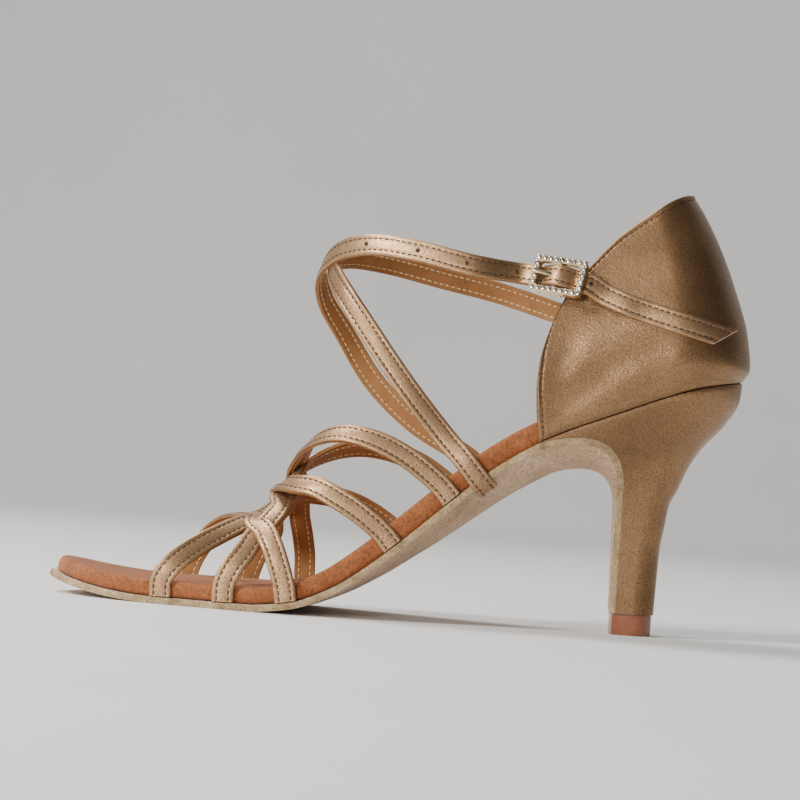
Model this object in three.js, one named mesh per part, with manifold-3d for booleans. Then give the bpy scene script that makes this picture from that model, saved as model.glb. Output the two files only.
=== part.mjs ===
// Open-toe ballroom dance sandal for the left foot.
// Millimetres, +Z up, toe towards -Y, outer side towards +X, origin under the middle of its box.

import * as THREE from 'three';
import { mergeVertices } from 'three/addons/utils/BufferGeometryUtils.js';
import Module from 'manifold-3d';

const wasm = await Module();
wasm.setup();

// Last and sole
const LENGTH = 221.5; // insole, from toe to back, along the floor
const BALL_WIDTH = 76; // insole across the ball
const HEEL_WIDTH = 48; // insole across the heel seat
const TOE_ROUND = 34; // depth of the rounded toe
const HEEL_ROUND = 24; // depth of the rounded back
const TOE_SPRING = 5; // lift of the sole's tip
const HEEL_HEIGHT = 86; // floor to the seam at the back of the heel
const OUTSOLE = 2.2; // thickness of the suede sole
const INSOLE = 7.6; // thickest part of the padded insole
const SEAM_INSET = 0.6; // how far the insole's lower edge is drawn in
const EDGE = 1.2; // sole edge that stands out round the insole
const CLEAR = 0.3; // gap between pieces that touch

// Heel
const BREAST_SETBACK = 36.5; // back of the seat to the heel's front face
const TIP_DEPTH = 12.4; // front to back of the heel at its foot
const TIP_HEIGHT = 7; // height of the plastic tip
const TIP_INSET = 0.5; // how far the tip stands in at its back and sides
const TIP_AHEAD = 1; // how far the tip reaches forward under the sole's flap
const TIP_BOW = 1.1; // how far its front bows out
const BREAST_RADIUS = 12; // reach of the bend from waist to breast
const TURN_EASE = 8 * Math.PI / 180; // how much the sole's bend starts flatter than the seat

// Counter
const WALL = 2; // leather, stiffener and lining
const COUNTER_RISE = 60; // back seam to the top of the counter
const COUNTER_LEAN = 20.4; // how far the top leans forward of the seam
const COLLAR_ROUND = 17; // depth of the rounded back at the top
const COUNTER_BACKSET = 1.6; // its front edge behind the place where the sole turns down

// Straps
const STRAP = 7.2; // width
const STRAP_THICK = 1.6;
const INSTEP = 50; // height of the hindmost forefoot strap over the sole
const ROUNDNESS = 2 / 2.4; // fullness of the forefoot's section
const FUSE = 0.25; // how far crossed straps are pressed into each other
const LOOP_REACH = 76; // ankle loop in front of the counter
const LOOP_HALF = 26; // half width of the ankle loop
const SLOT_AT = 0.632; // place of the strap slots along the insole
const SLOT_IN = 6; // slots in from the sole's edge
const TIP_SLANT = 9.1; // length of the slanted strap end
const TAIL = 47.5; // strap beyond the buckle's middle
const JOIN = 19; // strap sewn onto the inner counter

// Buckle
const BUCKLE_LENGTH = 18; // along the strap
const BUCKLE_WIDTH = 12.8; // across it
const BUCKLE_BAR = 2.2; // width of the frame's bars
const BUCKLE_DEPTH = 2.2; // thickness of the frame
const BUCKLE_CORNER = 2.4; // outer corner radius
const PIN_RADIUS = 0.8; // centre bar
const PIN_SINK = 1.5; // centre bar's middle under the frame
const PRONG_RADIUS = 0.55;
const TAB_THICK = 0.8;
const TAB_WIDTH = 5.4;
const TAB_LENGTH = 11; // tab on the counter
const TAB_SETBACK = 6; // tab's front edge behind the top line
const BUCKLE_RISE = 0.440; // height of the tab on the counter, share of its rise
const BUCKLE_DROP = 10.5 * Math.PI / 180; // slope of the strap through the buckle
const TAIL_DROP = 14 * Math.PI / 180; // slope of its free end
const BUCKLE_TURN = 0.14; // how much the frame faces forward and up from the counter's face
const TAIL_LOW = 2.1; // how far the free end lies under the frame's middle line
const LOOP_TILT = 0.25; // how much the ankle loop's face looks up

const LOOP_STEP = 0.7 * STRAP; // between sections of the ankle strap
const STATIONS = 36; // sections along the insole
const TURN = 23; // section where the outsole leaves the insole and turns to the breast
const ACROSS = [-1, -0.72, -0.38, 0, 0.38, 0.72, 1]; // columns over the sole's width

// Sole outline: place along the insole, width as shares of ball and heel width, centre as share of ball width
const OUTLINE = [
  { at: 0.00, ball: 0.74, heel: 0.00, swing: -0.070 },
  { at: 0.13, ball: 0.87, heel: 0.00, swing: -0.050 },
  { at: 0.22, ball: 0.95, heel: 0.00, swing: -0.025 },
  { at: 0.32, ball: 1.00, heel: 0.00, swing: 0.000 },
  { at: 0.42, ball: 0.91, heel: 0.00, swing: 0.030 },
  { at: 0.53, ball: 0.35, heel: 0.59, swing: 0.050 },
  { at: 0.64, ball: 0.00, heel: 0.95, swing: 0.040 },
  { at: 0.73, ball: 0.00, heel: 0.93, swing: 0.020 },
  { at: 0.84, ball: 0.00, heel: 0.99, swing: 0.000 },
  { at: 1.00, ball: 0.00, heel: 1.00, swing: 0.000 },
];

// Side profile of the insole's lower edge over the flat forefoot, share of heel height
const ARCH = [
  { at: 0.320, rise: 0.000 },
  { at: 0.374, rise: 0.021 },
  { at: 0.428, rise: 0.081 },
  { at: 0.482, rise: 0.180 },
  { at: 0.536, rise: 0.302 },
  { at: 0.604, rise: 0.465 },
  { at: 0.658, rise: 0.585 },
  { at: 0.710, rise: 0.674 },
  { at: 0.753, rise: 0.731 },
  { at: 0.830, rise: 0.815 },
  { at: 0.905, rise: 0.894 },
  { at: 0.965, rise: 0.943 },
  { at: 1.030, rise: 0.975 },
];

// How far the middle of the last's bottom hangs below its edges, share of heel width, and padding share
const BOTTOM = [
  { at: 0.00, camber: 0.000, padding: 0.66 },
  { at: 0.32, camber: 0.000, padding: 0.68 },
  { at: 0.42, camber: 0.025, padding: 0.78 },
  { at: 0.50, camber: 0.070, padding: 0.88 },
  { at: 0.60, camber: 0.135, padding: 0.96 },
  { at: 0.71, camber: 0.170, padding: 1.00 },
  { at: 0.80, camber: 0.110, padding: 0.97 },
  { at: 0.88, camber: 0.060, padding: 0.92 },
  { at: 0.95, camber: 0.020, padding: 0.88 },
  { at: 1.00, camber: 0.000, padding: 0.86 },
];

// The insole's wrapped side, bottom to top: inset and rise as shares of its thickness
const WRAP = [
  { inset: 0.00, rise: 0.30 },
  { inset: 0.02, rise: 0.70 },
  { inset: 0.16, rise: 0.94 },
];

// Back line of the heel, floor to seam: how far it stands forward, share of setback less tip depth
const HEEL_BACK = [
  { at: 0.000, forward: 1.000 },
  { at: 0.200, forward: 0.984 },
  { at: 0.327, forward: 0.972 },
  { at: 0.423, forward: 0.928 },
  { at: 0.507, forward: 0.884 },
  { at: 0.566, forward: 0.788 },
  { at: 0.658, forward: 0.656 },
  { at: 0.734, forward: 0.492 },
  { at: 0.827, forward: 0.212 },
  { at: 0.930, forward: 0.020 },
  { at: 1.000, forward: 0.000 },
];

// Width of the heel by depth below the seat, share of heel height
const TAPER = [
  { at: 0.000, width: 1.000 },
  { at: 0.035, width: 0.935 },
  { at: 0.090, width: 0.810 },
  { at: 0.165, width: 0.650 },
  { at: 0.235, width: 0.500 },
  { at: 0.340, width: 0.375 },
  { at: 0.450, width: 0.310 },
  { at: 0.600, width: 0.280 },
  { at: 0.930, width: 0.262 },
];

// Back line of the counter, seam to top, share of its rise and lean
const COUNTER_BACK = [
  { at: 0.000, forward: 0.000 },
  { at: 0.070, forward: -0.100 },
  { at: 0.262, forward: -0.020 },
  { at: 0.460, forward: 0.176 },
  { at: 0.684, forward: 0.451 },
  { at: 0.889, forward: 0.775 },
  { at: 1.000, forward: 1.000 },
];

// Top line, from the peak at the back to the front shoulder, share of the counter's rise
const TOP_LINE = [
  { at: 0.000, rise: 1.000 },
  { at: 0.090, rise: 0.973 },
  { at: 0.424, rise: 0.805 },
  { at: 0.563, rise: 0.720 },
  { at: 0.710, rise: 0.600 },
  { at: 0.930, rise: 0.392 },
  { at: 1.000, rise: 0.273 },
];

// Front edge, sole to shoulder: how far it stands forward, share of heel width
const FRONT_EDGE = [
  { at: 0.000, ahead: 0.000 },
  { at: 0.257, ahead: 0.028 },
  { at: 0.460, ahead: 0.043 },
  { at: 0.670, ahead: 0.033 },
  { at: 0.863, ahead: -0.002 },
  { at: 1.000, ahead: -0.042 },
];

// Width of the counter by height over the seat, share of its rise
const SWELL = [
  { at: 0.00, width: 1.00 },
  { at: 0.10, width: 1.07 },
  { at: 0.25, width: 1.13 },
  { at: 0.45, width: 1.11 },
  { at: 0.70, width: 0.99 },
  { at: 1.00, width: 0.82 },
];

// Forefoot straps: roots on the outer and inner side along the insole, layer 1 crosses over layer 0
const VAMP = [
  { outer: 0.5955, inner: 0.3675, layer: 1 },
  { outer: 0.5155, inner: 0.2745, layer: 1 },
  { outer: 0.3675, inner: 0.1800, layer: 1 },
  { outer: 0.2745, inner: 0.5955, layer: 0 },
  { outer: 0.1800, inner: 0.5155, layer: 0 },
];

// Height of the straps over the insole, share of the instep
const CROWN = [
  { at: 0.180, rise: 0.40 },
  { at: 0.275, rise: 0.52 },
  { at: 0.368, rise: 0.66 },
  { at: 0.430, rise: 0.75 },
  { at: 0.516, rise: 0.88 },
  { at: 0.596, rise: 1.00 },
];

// Ankle loop from the buckle over the front to the inner slot:
// ahead of the counter, above the back seam and to the side, shares of reach, counter rise and half width
const OUTER_RUN = [
  { ahead: 0.310, up: 0.515, side: 1.090 },
  { ahead: 0.565, up: 0.575, side: 0.970 },
  { ahead: 0.780, up: 0.597, side: 0.710 },
  { ahead: 0.925, up: 0.550, side: 0.350 },
  { ahead: 1.000, up: 0.440, side: -0.060 },
  { ahead: 0.985, up: 0.300, side: -0.400 },
  { ahead: 0.895, up: 0.120, side: -0.660 },
  { ahead: 0.749, up: -0.140, side: -0.840 },
  { ahead: 0.560, up: -0.350, side: -0.900 },
];

// The other run, from the outer slot over the front to the inner side of the counter
const INNER_RUN = [
  { ahead: 0.388, up: -0.420, side: 1.000 },
  { ahead: 0.563, up: -0.170, side: 1.000 },
  { ahead: 0.747, up: 0.120, side: 0.900 },
  { ahead: 0.867, up: 0.315, side: 0.700 },
  { ahead: 0.925, up: 0.420, side: 0.420 },
  { ahead: 0.945, up: 0.500, side: 0.060 },
  { ahead: 0.880, up: 0.540, side: -0.320 },
  { ahead: 0.720, up: 0.530, side: -0.680 },
  { ahead: 0.480, up: 0.475, side: -0.940 },
  { ahead: 0.220, up: 0.415, side: -1.080 },
];

const vec = (x, y, z) => new THREE.Vector3(x, y, z);
const mix = THREE.MathUtils.lerp;
const step = THREE.MathUtils.smoothstep;

// A smooth value from a table with a column "at", straight on past its ends
function sample(table, column, at) {
  const last = table.length - 1;
  const gap = (i) => table[i + 1].at - table[i].at;
  const rise = (i) => (table[i + 1][column] - table[i][column]) / gap(i);
  const slope = (i) => {
    if (i === 0) return rise(0);
    if (i === last) return rise(last - 1);
    const [before, after] = [rise(i - 1), rise(i)];
    return before * after <= 0 ? 0 : 2 * before * after / (before + after);
  };
  if (at <= table[0].at) return table[0][column];
  if (at >= table[last].at) return table[last][column];
  let i = 0;
  while (at > table[i + 1].at) i++;
  const t = (at - table[i].at) / gap(i);
  const u = 1 - t;
  return u * u * (1 + 2 * t) * table[i][column] + t * t * (1 + 2 * u) * table[i + 1][column]
    + gap(i) * t * u * (u * slope(i) - t * slope(i + 1));
}

// Height of an elliptic end, from 0 at its tip to 1 where it runs straight
function roundEnd(share) {
  const t = Math.min(Math.max(share, 0), 1);
  return Math.sqrt(1 - (1 - t) ** 2);
}

const alongY = (at) => (at - 0.5) * LENGTH;
const placeOf = (y) => y / LENGTH + 0.5;
const stationAt = (k) => (1 - Math.cos(Math.PI * k / STATIONS)) / 2;
const swing = (at) => sample(OUTLINE, 'swing', at) * BALL_WIDTH;
const TURN_AT = stationAt(TURN);
const RIM = WALL + CLEAR; // sole edge under the counter
const SEAT_BACK = LENGTH / 2 + RIM;

// Half width of the insole before its ends are rounded
function plainHalf(at) {
  return (sample(OUTLINE, 'ball', at) * BALL_WIDTH + sample(OUTLINE, 'heel', at) * HEEL_WIDTH) / 2;
}

// Half width of the insole's outline moved outwards by a margin
function halfWidth(at, margin) {
  const toe = (at * LENGTH + margin) / (TOE_ROUND + margin);
  const back = ((1 - at) * LENGTH + margin) / (HEEL_ROUND + margin);
  return (plainHalf(at) + margin) * roundEnd(toe) * roundEnd(back);
}

// Height of the insole's lower edge
function seatHeight(at) {
  const lift = Math.max(0, 1 - at / 0.17);
  return OUTSOLE + CLEAR + TOE_SPRING * lift * lift + HEEL_HEIGHT * sample(ARCH, 'rise', at);
}

function seatSlope(at) {
  const dip = 0.004;
  return Math.atan2(seatHeight(at + dip) - seatHeight(at - dip), 2 * dip * LENGTH);
}

// How far the last's bottom lies under its edge line
function bottomDrop(at, x) {
  const share = (x - swing(at)) / plainHalf(at);
  return sample(BOTTOM, 'camber', at) * HEEL_WIDTH * Math.max(0, 1 - share * share);
}

// A point given square to the sole: place, sideways, height over the edge line
function solePlace(at, x, height) {
  const slope = seatSlope(at);
  return vec(x, alongY(at) - height * Math.sin(slope), seatHeight(at) + height * Math.cos(slope));
}

// A point of a sole layer: section, outline margin, share of the width, height and how much it is domed
function solePoint(section, margin, share, height, dome = 1) {
  const at = section + margin * (2 * section - 1) / LENGTH;
  const x = swing(at) + share * halfWidth(at, margin);
  return solePlace(at, x, height - dome * bottomDrop(at, x));
}

// Width of the outsole's edge beyond the insole: wider where straps come up and under the counter
function edgeWidth(at) {
  const roots = VAMP.map((strap) => strap.outer);
  const bulge = Math.max(...roots.map((root) => Math.exp(-(((at - root) / 0.022) ** 2))));
  const strapEdge = mix(EDGE, Math.max(EDGE, STRAP_THICK + CLEAR), bulge);
  return mix(strapEdge, RIM, step(at, SLOT_AT + 0.02, TURN_AT));
}

// A closed solid from points and triangles, faces out
function solidOf(points, triangles) {
  const geometry = new THREE.BufferGeometry();
  geometry.setAttribute('position', new THREE.Float32BufferAttribute(points.flatMap((p) => p.toArray()), 3));
  geometry.setIndex(triangles);
  return solidFrom(geometry);
}

function solidFrom(source) {
  const bare = source.clone();
  bare.deleteAttribute('normal');
  bare.deleteAttribute('uv');
  const merged = mergeVertices(bare, 1e-4);
  const vertProperties = new Float32Array(merged.attributes.position.array);
  const kept = [];
  const index = merged.index.array;
  for (let i = 0; i < index.length; i += 3) {
    const [a, b, c] = [index[i], index[i + 1], index[i + 2]];
    if (a !== b && b !== c && c !== a) kept.push([a, b, c]);
  }
  const corner = (k) => vec().fromArray(vertProperties, 3 * k);
  const volume = kept.reduce((sum, [a, b, c]) => sum + corner(a).dot(corner(b).cross(corner(c))), 0);
  const triVerts = new Uint32Array(kept.flatMap(([a, b, c]) => (volume < 0 ? [a, c, b] : [a, b, c])));
  return new wasm.Manifold(new wasm.Mesh({ numProp: 3, vertProperties, triVerts }));
}

// A solid through rings of equal length: an open first or last ring is one that closes to a line
function ringSolid(rings, firstCap = true, lastCap = true) {
  const size = rings[0].length;
  const triangles = [];
  const quad = (a, b, c, d) => triangles.push(a, b, c, a, c, d);
  for (let r = 0; r + 1 < rings.length; r++) {
    for (let k = 0; k < size; k++) {
      const next = (k + 1) % size;
      quad(r * size + k, r * size + next, (r + 1) * size + next, (r + 1) * size + k);
    }
  }
  const end = (rings.length - 1) * size;
  for (let k = 0; 2 * k + 2 < size; k++) {
    const [near, far] = [size - 2 - k, size - 1 - k];
    if (firstCap) quad(k + 1, k, far, near);
    if (lastCap) quad(end + k, end + k + 1, end + near, end + far);
  }
  return solidOf(rings.flat(), triangles);
}

// The insole, or with a gap all round it as a cutter
function insole(gap = 0) {
  const rings = [];
  for (let k = 0; k <= STATIONS; k++) {
    const section = stationAt(k);
    const thick = INSOLE * sample(BOTTOM, 'padding', section);
    const place = (inset, share, rise, dome) => (
      solePoint(section, gap - inset * thick, share, rise * thick, dome)
    );
    const side = (sign) => WRAP.map((row) => place(row.inset, sign, row.rise));
    const crown = ACROSS.slice(1, -1).map((share) => place(0.3, share, 1 + gap / thick, 0.7));
    rings.push([
      ...ACROSS.map((share) => solePoint(section, gap - SEAM_INSET, share, -gap)),
      ...side(1),
      ...crown.reverse(),
      ...side(-1).reverse(),
    ]);
  }
  return ringSolid(rings, false, false);
}

// Half width of the heel and of the sole's flap at a height under the seat
function heelHalf(y, z) {
  const at = placeOf(y);
  const depth = (seatHeight(at) - z) / HEEL_HEIGHT;
  return (plainHalf(at) + RIM) * sample(TAPER, 'width', depth);
}

// Two side lines of the outsole's upper face behind the waist: its edge and its middle, down to the tip
function breastLines() {
  const breastY = SEAT_BACK - BREAST_SETBACK;
  const line = (drop, ahead, foot) => {
    const start = solePlace(TURN_AT, 0, -CLEAR - drop);
    const slope = seatSlope(TURN_AT) - TURN_EASE;
    const lean = 0.5 * (breastY - start.y);
    const reach = start.z - BREAST_RADIUS + foot;
    const bend = new THREE.CubicBezierCurve3(
      start,
      start.clone().add(vec(0, lean * Math.cos(slope), lean * Math.sin(slope))),
      vec(0, breastY - ahead, reach + BREAST_RADIUS),
      vec(0, breastY - ahead, reach - foot),
    );
    const down = new THREE.LineCurve3(bend.v3, vec(0, breastY - 0.25 * ahead, TIP_HEIGHT));
    return { bend, down };
  };
  const drop = bottomDrop(TURN_AT, swing(TURN_AT));
  return { edge: line(0, CLEAR, BREAST_RADIUS / 2), middle: line(drop, 0.6 * OUTSOLE, BREAST_RADIUS / 3) };
}

// Sections of the outsole's upper face behind the waist, as side points for edge and middle
function breastSections() {
  const { edge, middle } = breastLines();
  const bendSteps = 8;
  const downSteps = 4;
  const sections = [];
  for (let k = 1; k <= bendSteps; k++) {
    sections.push([edge.bend.getPoint(k / bendSteps), middle.bend.getPoint(k / bendSteps)]);
  }
  for (let k = 1; k <= downSteps; k++) {
    sections.push([edge.down.getPoint(k / downSteps), middle.down.getPoint(k / downSteps)]);
  }
  return sections;
}

// Columns of the outsole's upper face at every section, from toe to the foot of the flap
function solingGrid() {
  const grid = [];
  for (let k = 0; k <= TURN; k++) {
    const section = stationAt(k);
    const rim = (sign) => solePoint(section, edgeWidth(section), sign, -CLEAR);
    grid.push([rim(-1), ...ACROSS.map((share) => solePoint(section, -SEAM_INSET, share, -CLEAR)), rim(1)]);
  }
  const inner = halfWidth(TURN_AT, -SEAM_INSET) / halfWidth(TURN_AT, RIM);
  for (const [edge, middle] of breastSections()) {
    const half = heelHalf(edge.y, edge.z);
    const point = (share, dome) => {
      const side = middle.clone().lerp(edge, dome);
      return side.setX(swing(placeOf(edge.y)) + share * half);
    };
    grid.push([point(-1, 1), ...ACROSS.map((share) => point(share * inner, share * share)), point(1, 1)]);
  }
  return grid;
}

// The same grid moved square to itself
function offsetGrid(grid, distance) {
  return grid.map((row, i) => row.map((point, j) => {
    const before = grid[Math.max(i - 1, 0)][j];
    const after = grid[Math.min(i + 1, grid.length - 1)][j];
    const left = row[Math.max(j - 1, 0)];
    const right = row[Math.min(j + 1, row.length - 1)];
    const along = after.clone().sub(before);
    const across = right.clone().sub(left);
    const normal = across.cross(along);
    if (normal.lengthSq() < 1e-6) normal.set(0, 0, 1);
    return point.clone().addScaledVector(normal.normalize(), distance);
  }));
}

// A sheet between two grids of the same size
function sheetSolid(upper, lower, firstCap = true, lastCap = true) {
  return ringSolid(upper.map((row, i) => [...row, ...lower[i].slice().reverse()]), firstCap, lastCap);
}

// Outsole: flat-bottomed under the forefoot, so its lower face is worked out like its upper one there
function outsole() {
  const upper = solingGrid();
  const lower = offsetGrid(upper, -OUTSOLE);
  for (let k = 0; k <= TURN; k++) {
    const section = stationAt(k);
    const rim = (sign) => solePoint(section, edgeWidth(section), sign, -CLEAR - OUTSOLE);
    lower[k] = [
      rim(-1),
      ...ACROSS.map((share) => solePoint(section, -SEAM_INSET, share, -CLEAR - OUTSOLE)),
      rim(1),
    ];
  }
  return sheetSolid(upper, lower, false, true);
}

// Everything in front of and under the outsole's upper face, as a cutter for the heel
function breastCutter() {
  const wide = BALL_WIDTH;
  const anchor = vec(0, SEAT_BACK - BREAST_SETBACK - 1.6 * HEEL_HEIGHT, 0);
  const face = offsetGrid(solingGrid(), CLEAR).slice(TURN - 6);
  const foot = face.at(-1).map((p) => p.clone().setZ(-TIP_HEIGHT));
  const rows = [...face, foot].map((row) => {
    const [first, last] = [row[0].clone(), row.at(-1).clone()];
    return [first.setX(-wide), ...row, last.setX(wide)];
  });
  const far = rows.map((row) => row.map((p) => vec(p.x, anchor.y, anchor.z)));
  return sheetSolid(rows, far);
}

// Everything over the heel seat
function seatCutter() {
  const wide = BALL_WIDTH;
  const rows = [];
  for (let k = TURN - 6; k <= STATIONS; k++) {
    const section = stationAt(k);
    const row = ACROSS.map((share) => solePoint(section, -SEAM_INSET, share, -CLEAR));
    const rim = (sign) => solePoint(section, RIM + CLEAR, sign, -CLEAR);
    const flank = (sign) => rim(sign).setX(sign * wide);
    rows.push([flank(-1), rim(-1), ...row, rim(1), flank(1)]);
  }
  const behind = rows.at(-1).map((p) => p.clone().add(vec(0, HEEL_WIDTH, 0)));
  rows.push(behind);
  const over = rows.map((row) => row.map((p) => p.clone().setZ(p.z + 2 * HEEL_HEIGHT)));
  return sheetSolid(rows, over);
}

// Everything under the line on which the strap ends stand
function groundCutter() {
  const rings = [];
  for (let k = 0; k <= STATIONS; k++) {
    const corner = (side, height) => solePlace(stationAt(k), side * BALL_WIDTH, height);
    rings.push([corner(-1, 0), corner(1, 0), corner(1, -3 * INSOLE), corner(-1, -3 * INSOLE)]);
  }
  return ringSolid(rings);
}

// Back of the heel at a height
function heelBackY(z) {
  const forward = sample(HEEL_BACK, 'forward', z / HEEL_HEIGHT);
  return SEAT_BACK - forward * (BREAST_SETBACK - TIP_DEPTH);
}

// A level section of the heel: D-shaped, straight at the front
function heelRing(z, frontY, inset = 0) {
  const backY = heelBackY(z) - inset;
  const deep = (HEEL_ROUND + RIM) * sample(TAPER, 'width', (HEEL_HEIGHT - z) / HEEL_HEIGHT);
  const steps = 12;
  const outer = [];
  const inner = [];
  for (let k = 0; k <= steps; k++) {
    const y = mix(frontY, backY, Math.sin(Math.PI / 2 * k / steps));
    const half = (heelHalf(y, z) - inset) * roundEnd((backY - y) / deep);
    outer.push(vec(swing(placeOf(y)) + half, y, z));
    if (k < steps) inner.unshift(vec(swing(placeOf(y)) - half, y, z));
  }
  return [...outer, ...inner];
}

function heel() {
  const breastY = SEAT_BACK - BREAST_SETBACK;
  const levels = [0.0814, 0.14, 0.23, 0.34, 0.43, 0.5, 0.56, 0.62, 0.68, 0.74, 0.8, 0.86, 0.92, 0.97, 1.04];
  const rings = levels.map((share, k) => {
    const z = k === 0 ? TIP_HEIGHT : share * HEEL_HEIGHT;
    const frontY = mix(breastY - OUTSOLE, alongY(TURN_AT), step(share, 0.5, 0.62));
    return heelRing(z, frontY);
  });
  return ringSolid(rings).subtract(seatCutter()).subtract(breastCutter());
}

function heelTip() {
  const frontY = SEAT_BACK - BREAST_SETBACK - TIP_AHEAD;
  const bow = vec(swing(placeOf(frontY)), frontY - TIP_BOW, 0);
  const ring = (z) => [...heelRing(TIP_HEIGHT, frontY, TIP_INSET), bow.clone()].map((p) => p.setZ(z));
  return ringSolid([ring(0), ring(TIP_HEIGHT - CLEAR)]);
}

// Back of the counter at a height
function counterBackY(z) {
  return SEAT_BACK - COUNTER_LEAN * sample(COUNTER_BACK, 'forward', (z - HEEL_HEIGHT) / COUNTER_RISE);
}

// Half width of the counter's outer face at a side point
function counterHalf(y, z) {
  const at = placeOf(y);
  const high = (z - seatHeight(at)) / COUNTER_RISE;
  const peak = Math.max(0, (z - HEEL_HEIGHT) / COUNTER_RISE);
  const deep = mix(HEEL_ROUND + RIM, COLLAR_ROUND, peak);
  return (plainHalf(at) + RIM) * sample(SWELL, 'width', high) * roundEnd((counterBackY(z) - y) / deep);
}

// Side outline of the counter: lower edge, top line, back and front as shares of their own run
const TURN_Y = alongY(TURN_AT);
const COUNTER_FRONT_Y = TURN_Y + COUNTER_BACKSET;
const SHOULDER_Y = COUNTER_FRONT_Y - sample(FRONT_EDGE, 'ahead', 1) * HEEL_WIDTH;
const SHOULDER_Z = HEEL_HEIGHT + sample(TOP_LINE, 'rise', 1) * COUNTER_RISE;
const PEAK_Y = counterBackY(HEEL_HEIGHT + COUNTER_RISE);

function lowerEdge(share) {
  const y = mix(SEAT_BACK, COUNTER_FRONT_Y, share);
  return new THREE.Vector2(y, seatHeight(placeOf(y)));
}

function topLine(share) {
  return new THREE.Vector2(
    mix(PEAK_Y, SHOULDER_Y, share),
    HEEL_HEIGHT + sample(TOP_LINE, 'rise', share) * COUNTER_RISE,
  );
}

function backEdge(share) {
  const z = mix(seatHeight(placeOf(SEAT_BACK)), HEEL_HEIGHT + COUNTER_RISE, share);
  return new THREE.Vector2(counterBackY(z), z);
}

function frontEdge(share) {
  const z = mix(seatHeight(placeOf(COUNTER_FRONT_Y)), SHOULDER_Z, share);
  return new THREE.Vector2(COUNTER_FRONT_Y - sample(FRONT_EDGE, 'ahead', share) * HEEL_WIDTH, z);
}

// A side point of the counter between its four edges: forward and up from 0 to 1
function counterSide(forward, up) {
  const corner = (f, u) => (u ? topLine(f) : lowerEdge(f));
  const point = lowerEdge(forward).multiplyScalar(1 - up).addScaledVector(topLine(forward), up);
  point.addScaledVector(backEdge(up), 1 - forward).addScaledVector(frontEdge(up), forward);
  for (const [f, u] of [[0, 0], [0, 1], [1, 0], [1, 1]]) {
    point.addScaledVector(corner(f, u), -(f ? forward : 1 - forward) * (u ? up : 1 - up));
  }
  return point;
}

function counterPoint(side, forward, up) {
  const { x: y, y: z } = counterSide(forward, up);
  const half = forward === 0 ? 0 : counterHalf(y, z);
  return vec(swing(placeOf(y)) + side * half, y, z);
}

function counter() {
  const columns = 12;
  const rows = 11;
  const grid = [];
  for (let i = 0; i <= rows; i++) {
    const row = [];
    for (let j = -columns; j <= columns; j++) {
      const forward = 1 - Math.cos(Math.PI / 2 * Math.abs(j) / columns);
      row.push(counterPoint(Math.sign(j), forward, i / rows));
    }
    grid.push(row);
  }
  return sheetSolid(grid, offsetGrid(grid, WALL));
}

// A point on the counter's outer face and its outward direction
function counterFace(side, y, z) {
  const at = (py, pz) => vec(swing(placeOf(py)) + side * counterHalf(py, pz), py, pz);
  const probe = WALL / 2;
  const along = at(y + probe, z).sub(at(y - probe, z));
  const up = at(y, z + probe).sub(at(y, z - probe));
  const out = along.cross(up).normalize();
  if (out.x * side < 0) out.negate();
  return { point: at(y, z), out };
}

// Where the top line or front edge stands at a height
function collarY(z) {
  let [low, high] = [0, 1];
  for (let k = 0; k < 24; k++) {
    const middle = (low + high) / 2;
    if (topLine(middle).y > z) low = middle;
    else high = middle;
  }
  return topLine(low).x;
}

// A flat strap through rows of { point, out }: smooth, with chamfered edges
function ribbon(rows, width, thick, spacing, slant = 0) {
  const curve = new THREE.CatmullRomCurve3(rows.map((row) => row.point), false, 'centripetal');
  const outs = rows.map((row) => row.out.clone().multiplyScalar(10));
  const aims = new THREE.CatmullRomCurve3(outs, false, 'catmullrom');
  const spans = rows.length - 1;
  const rings = [];
  for (let span = 0; span < spans; span++) {
    const gap = rows[span].point.distanceTo(rows[span + 1].point);
    const steps = Math.max(1, Math.round(gap / spacing));
    for (let k = span === 0 ? 0 : 1; k <= steps; k++) {
      const t = (span + k / steps) / spans;
      const last = slant && span === spans - 1 && k === steps;
      const lean = last ? slant : 0;
      rings.push(strapRing(curve.getPoint(t), curve.getTangent(t), aims.getPoint(t), width, thick, lean));
    }
  }
  return ringSolid(rings);
}

function strapRing(point, tangent, aim, width, thick, slant) {
  const out = aim.clone().addScaledVector(tangent, -aim.dot(tangent)).normalize();
  const across = tangent.clone().cross(out);
  const corner = (wide, high) => point.clone()
    .addScaledVector(across, wide * width)
    .addScaledVector(out, high * thick)
    .addScaledVector(tangent, -wide * slant);
  return [
    corner(-0.5, 0.18), corner(-0.4, 0.5), corner(0.4, 0.5), corner(0.5, 0.18),
    corner(0.5, -0.18), corner(0.4, -0.5), corner(-0.4, -0.5), corner(-0.5, -0.18),
  ];
}

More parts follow.
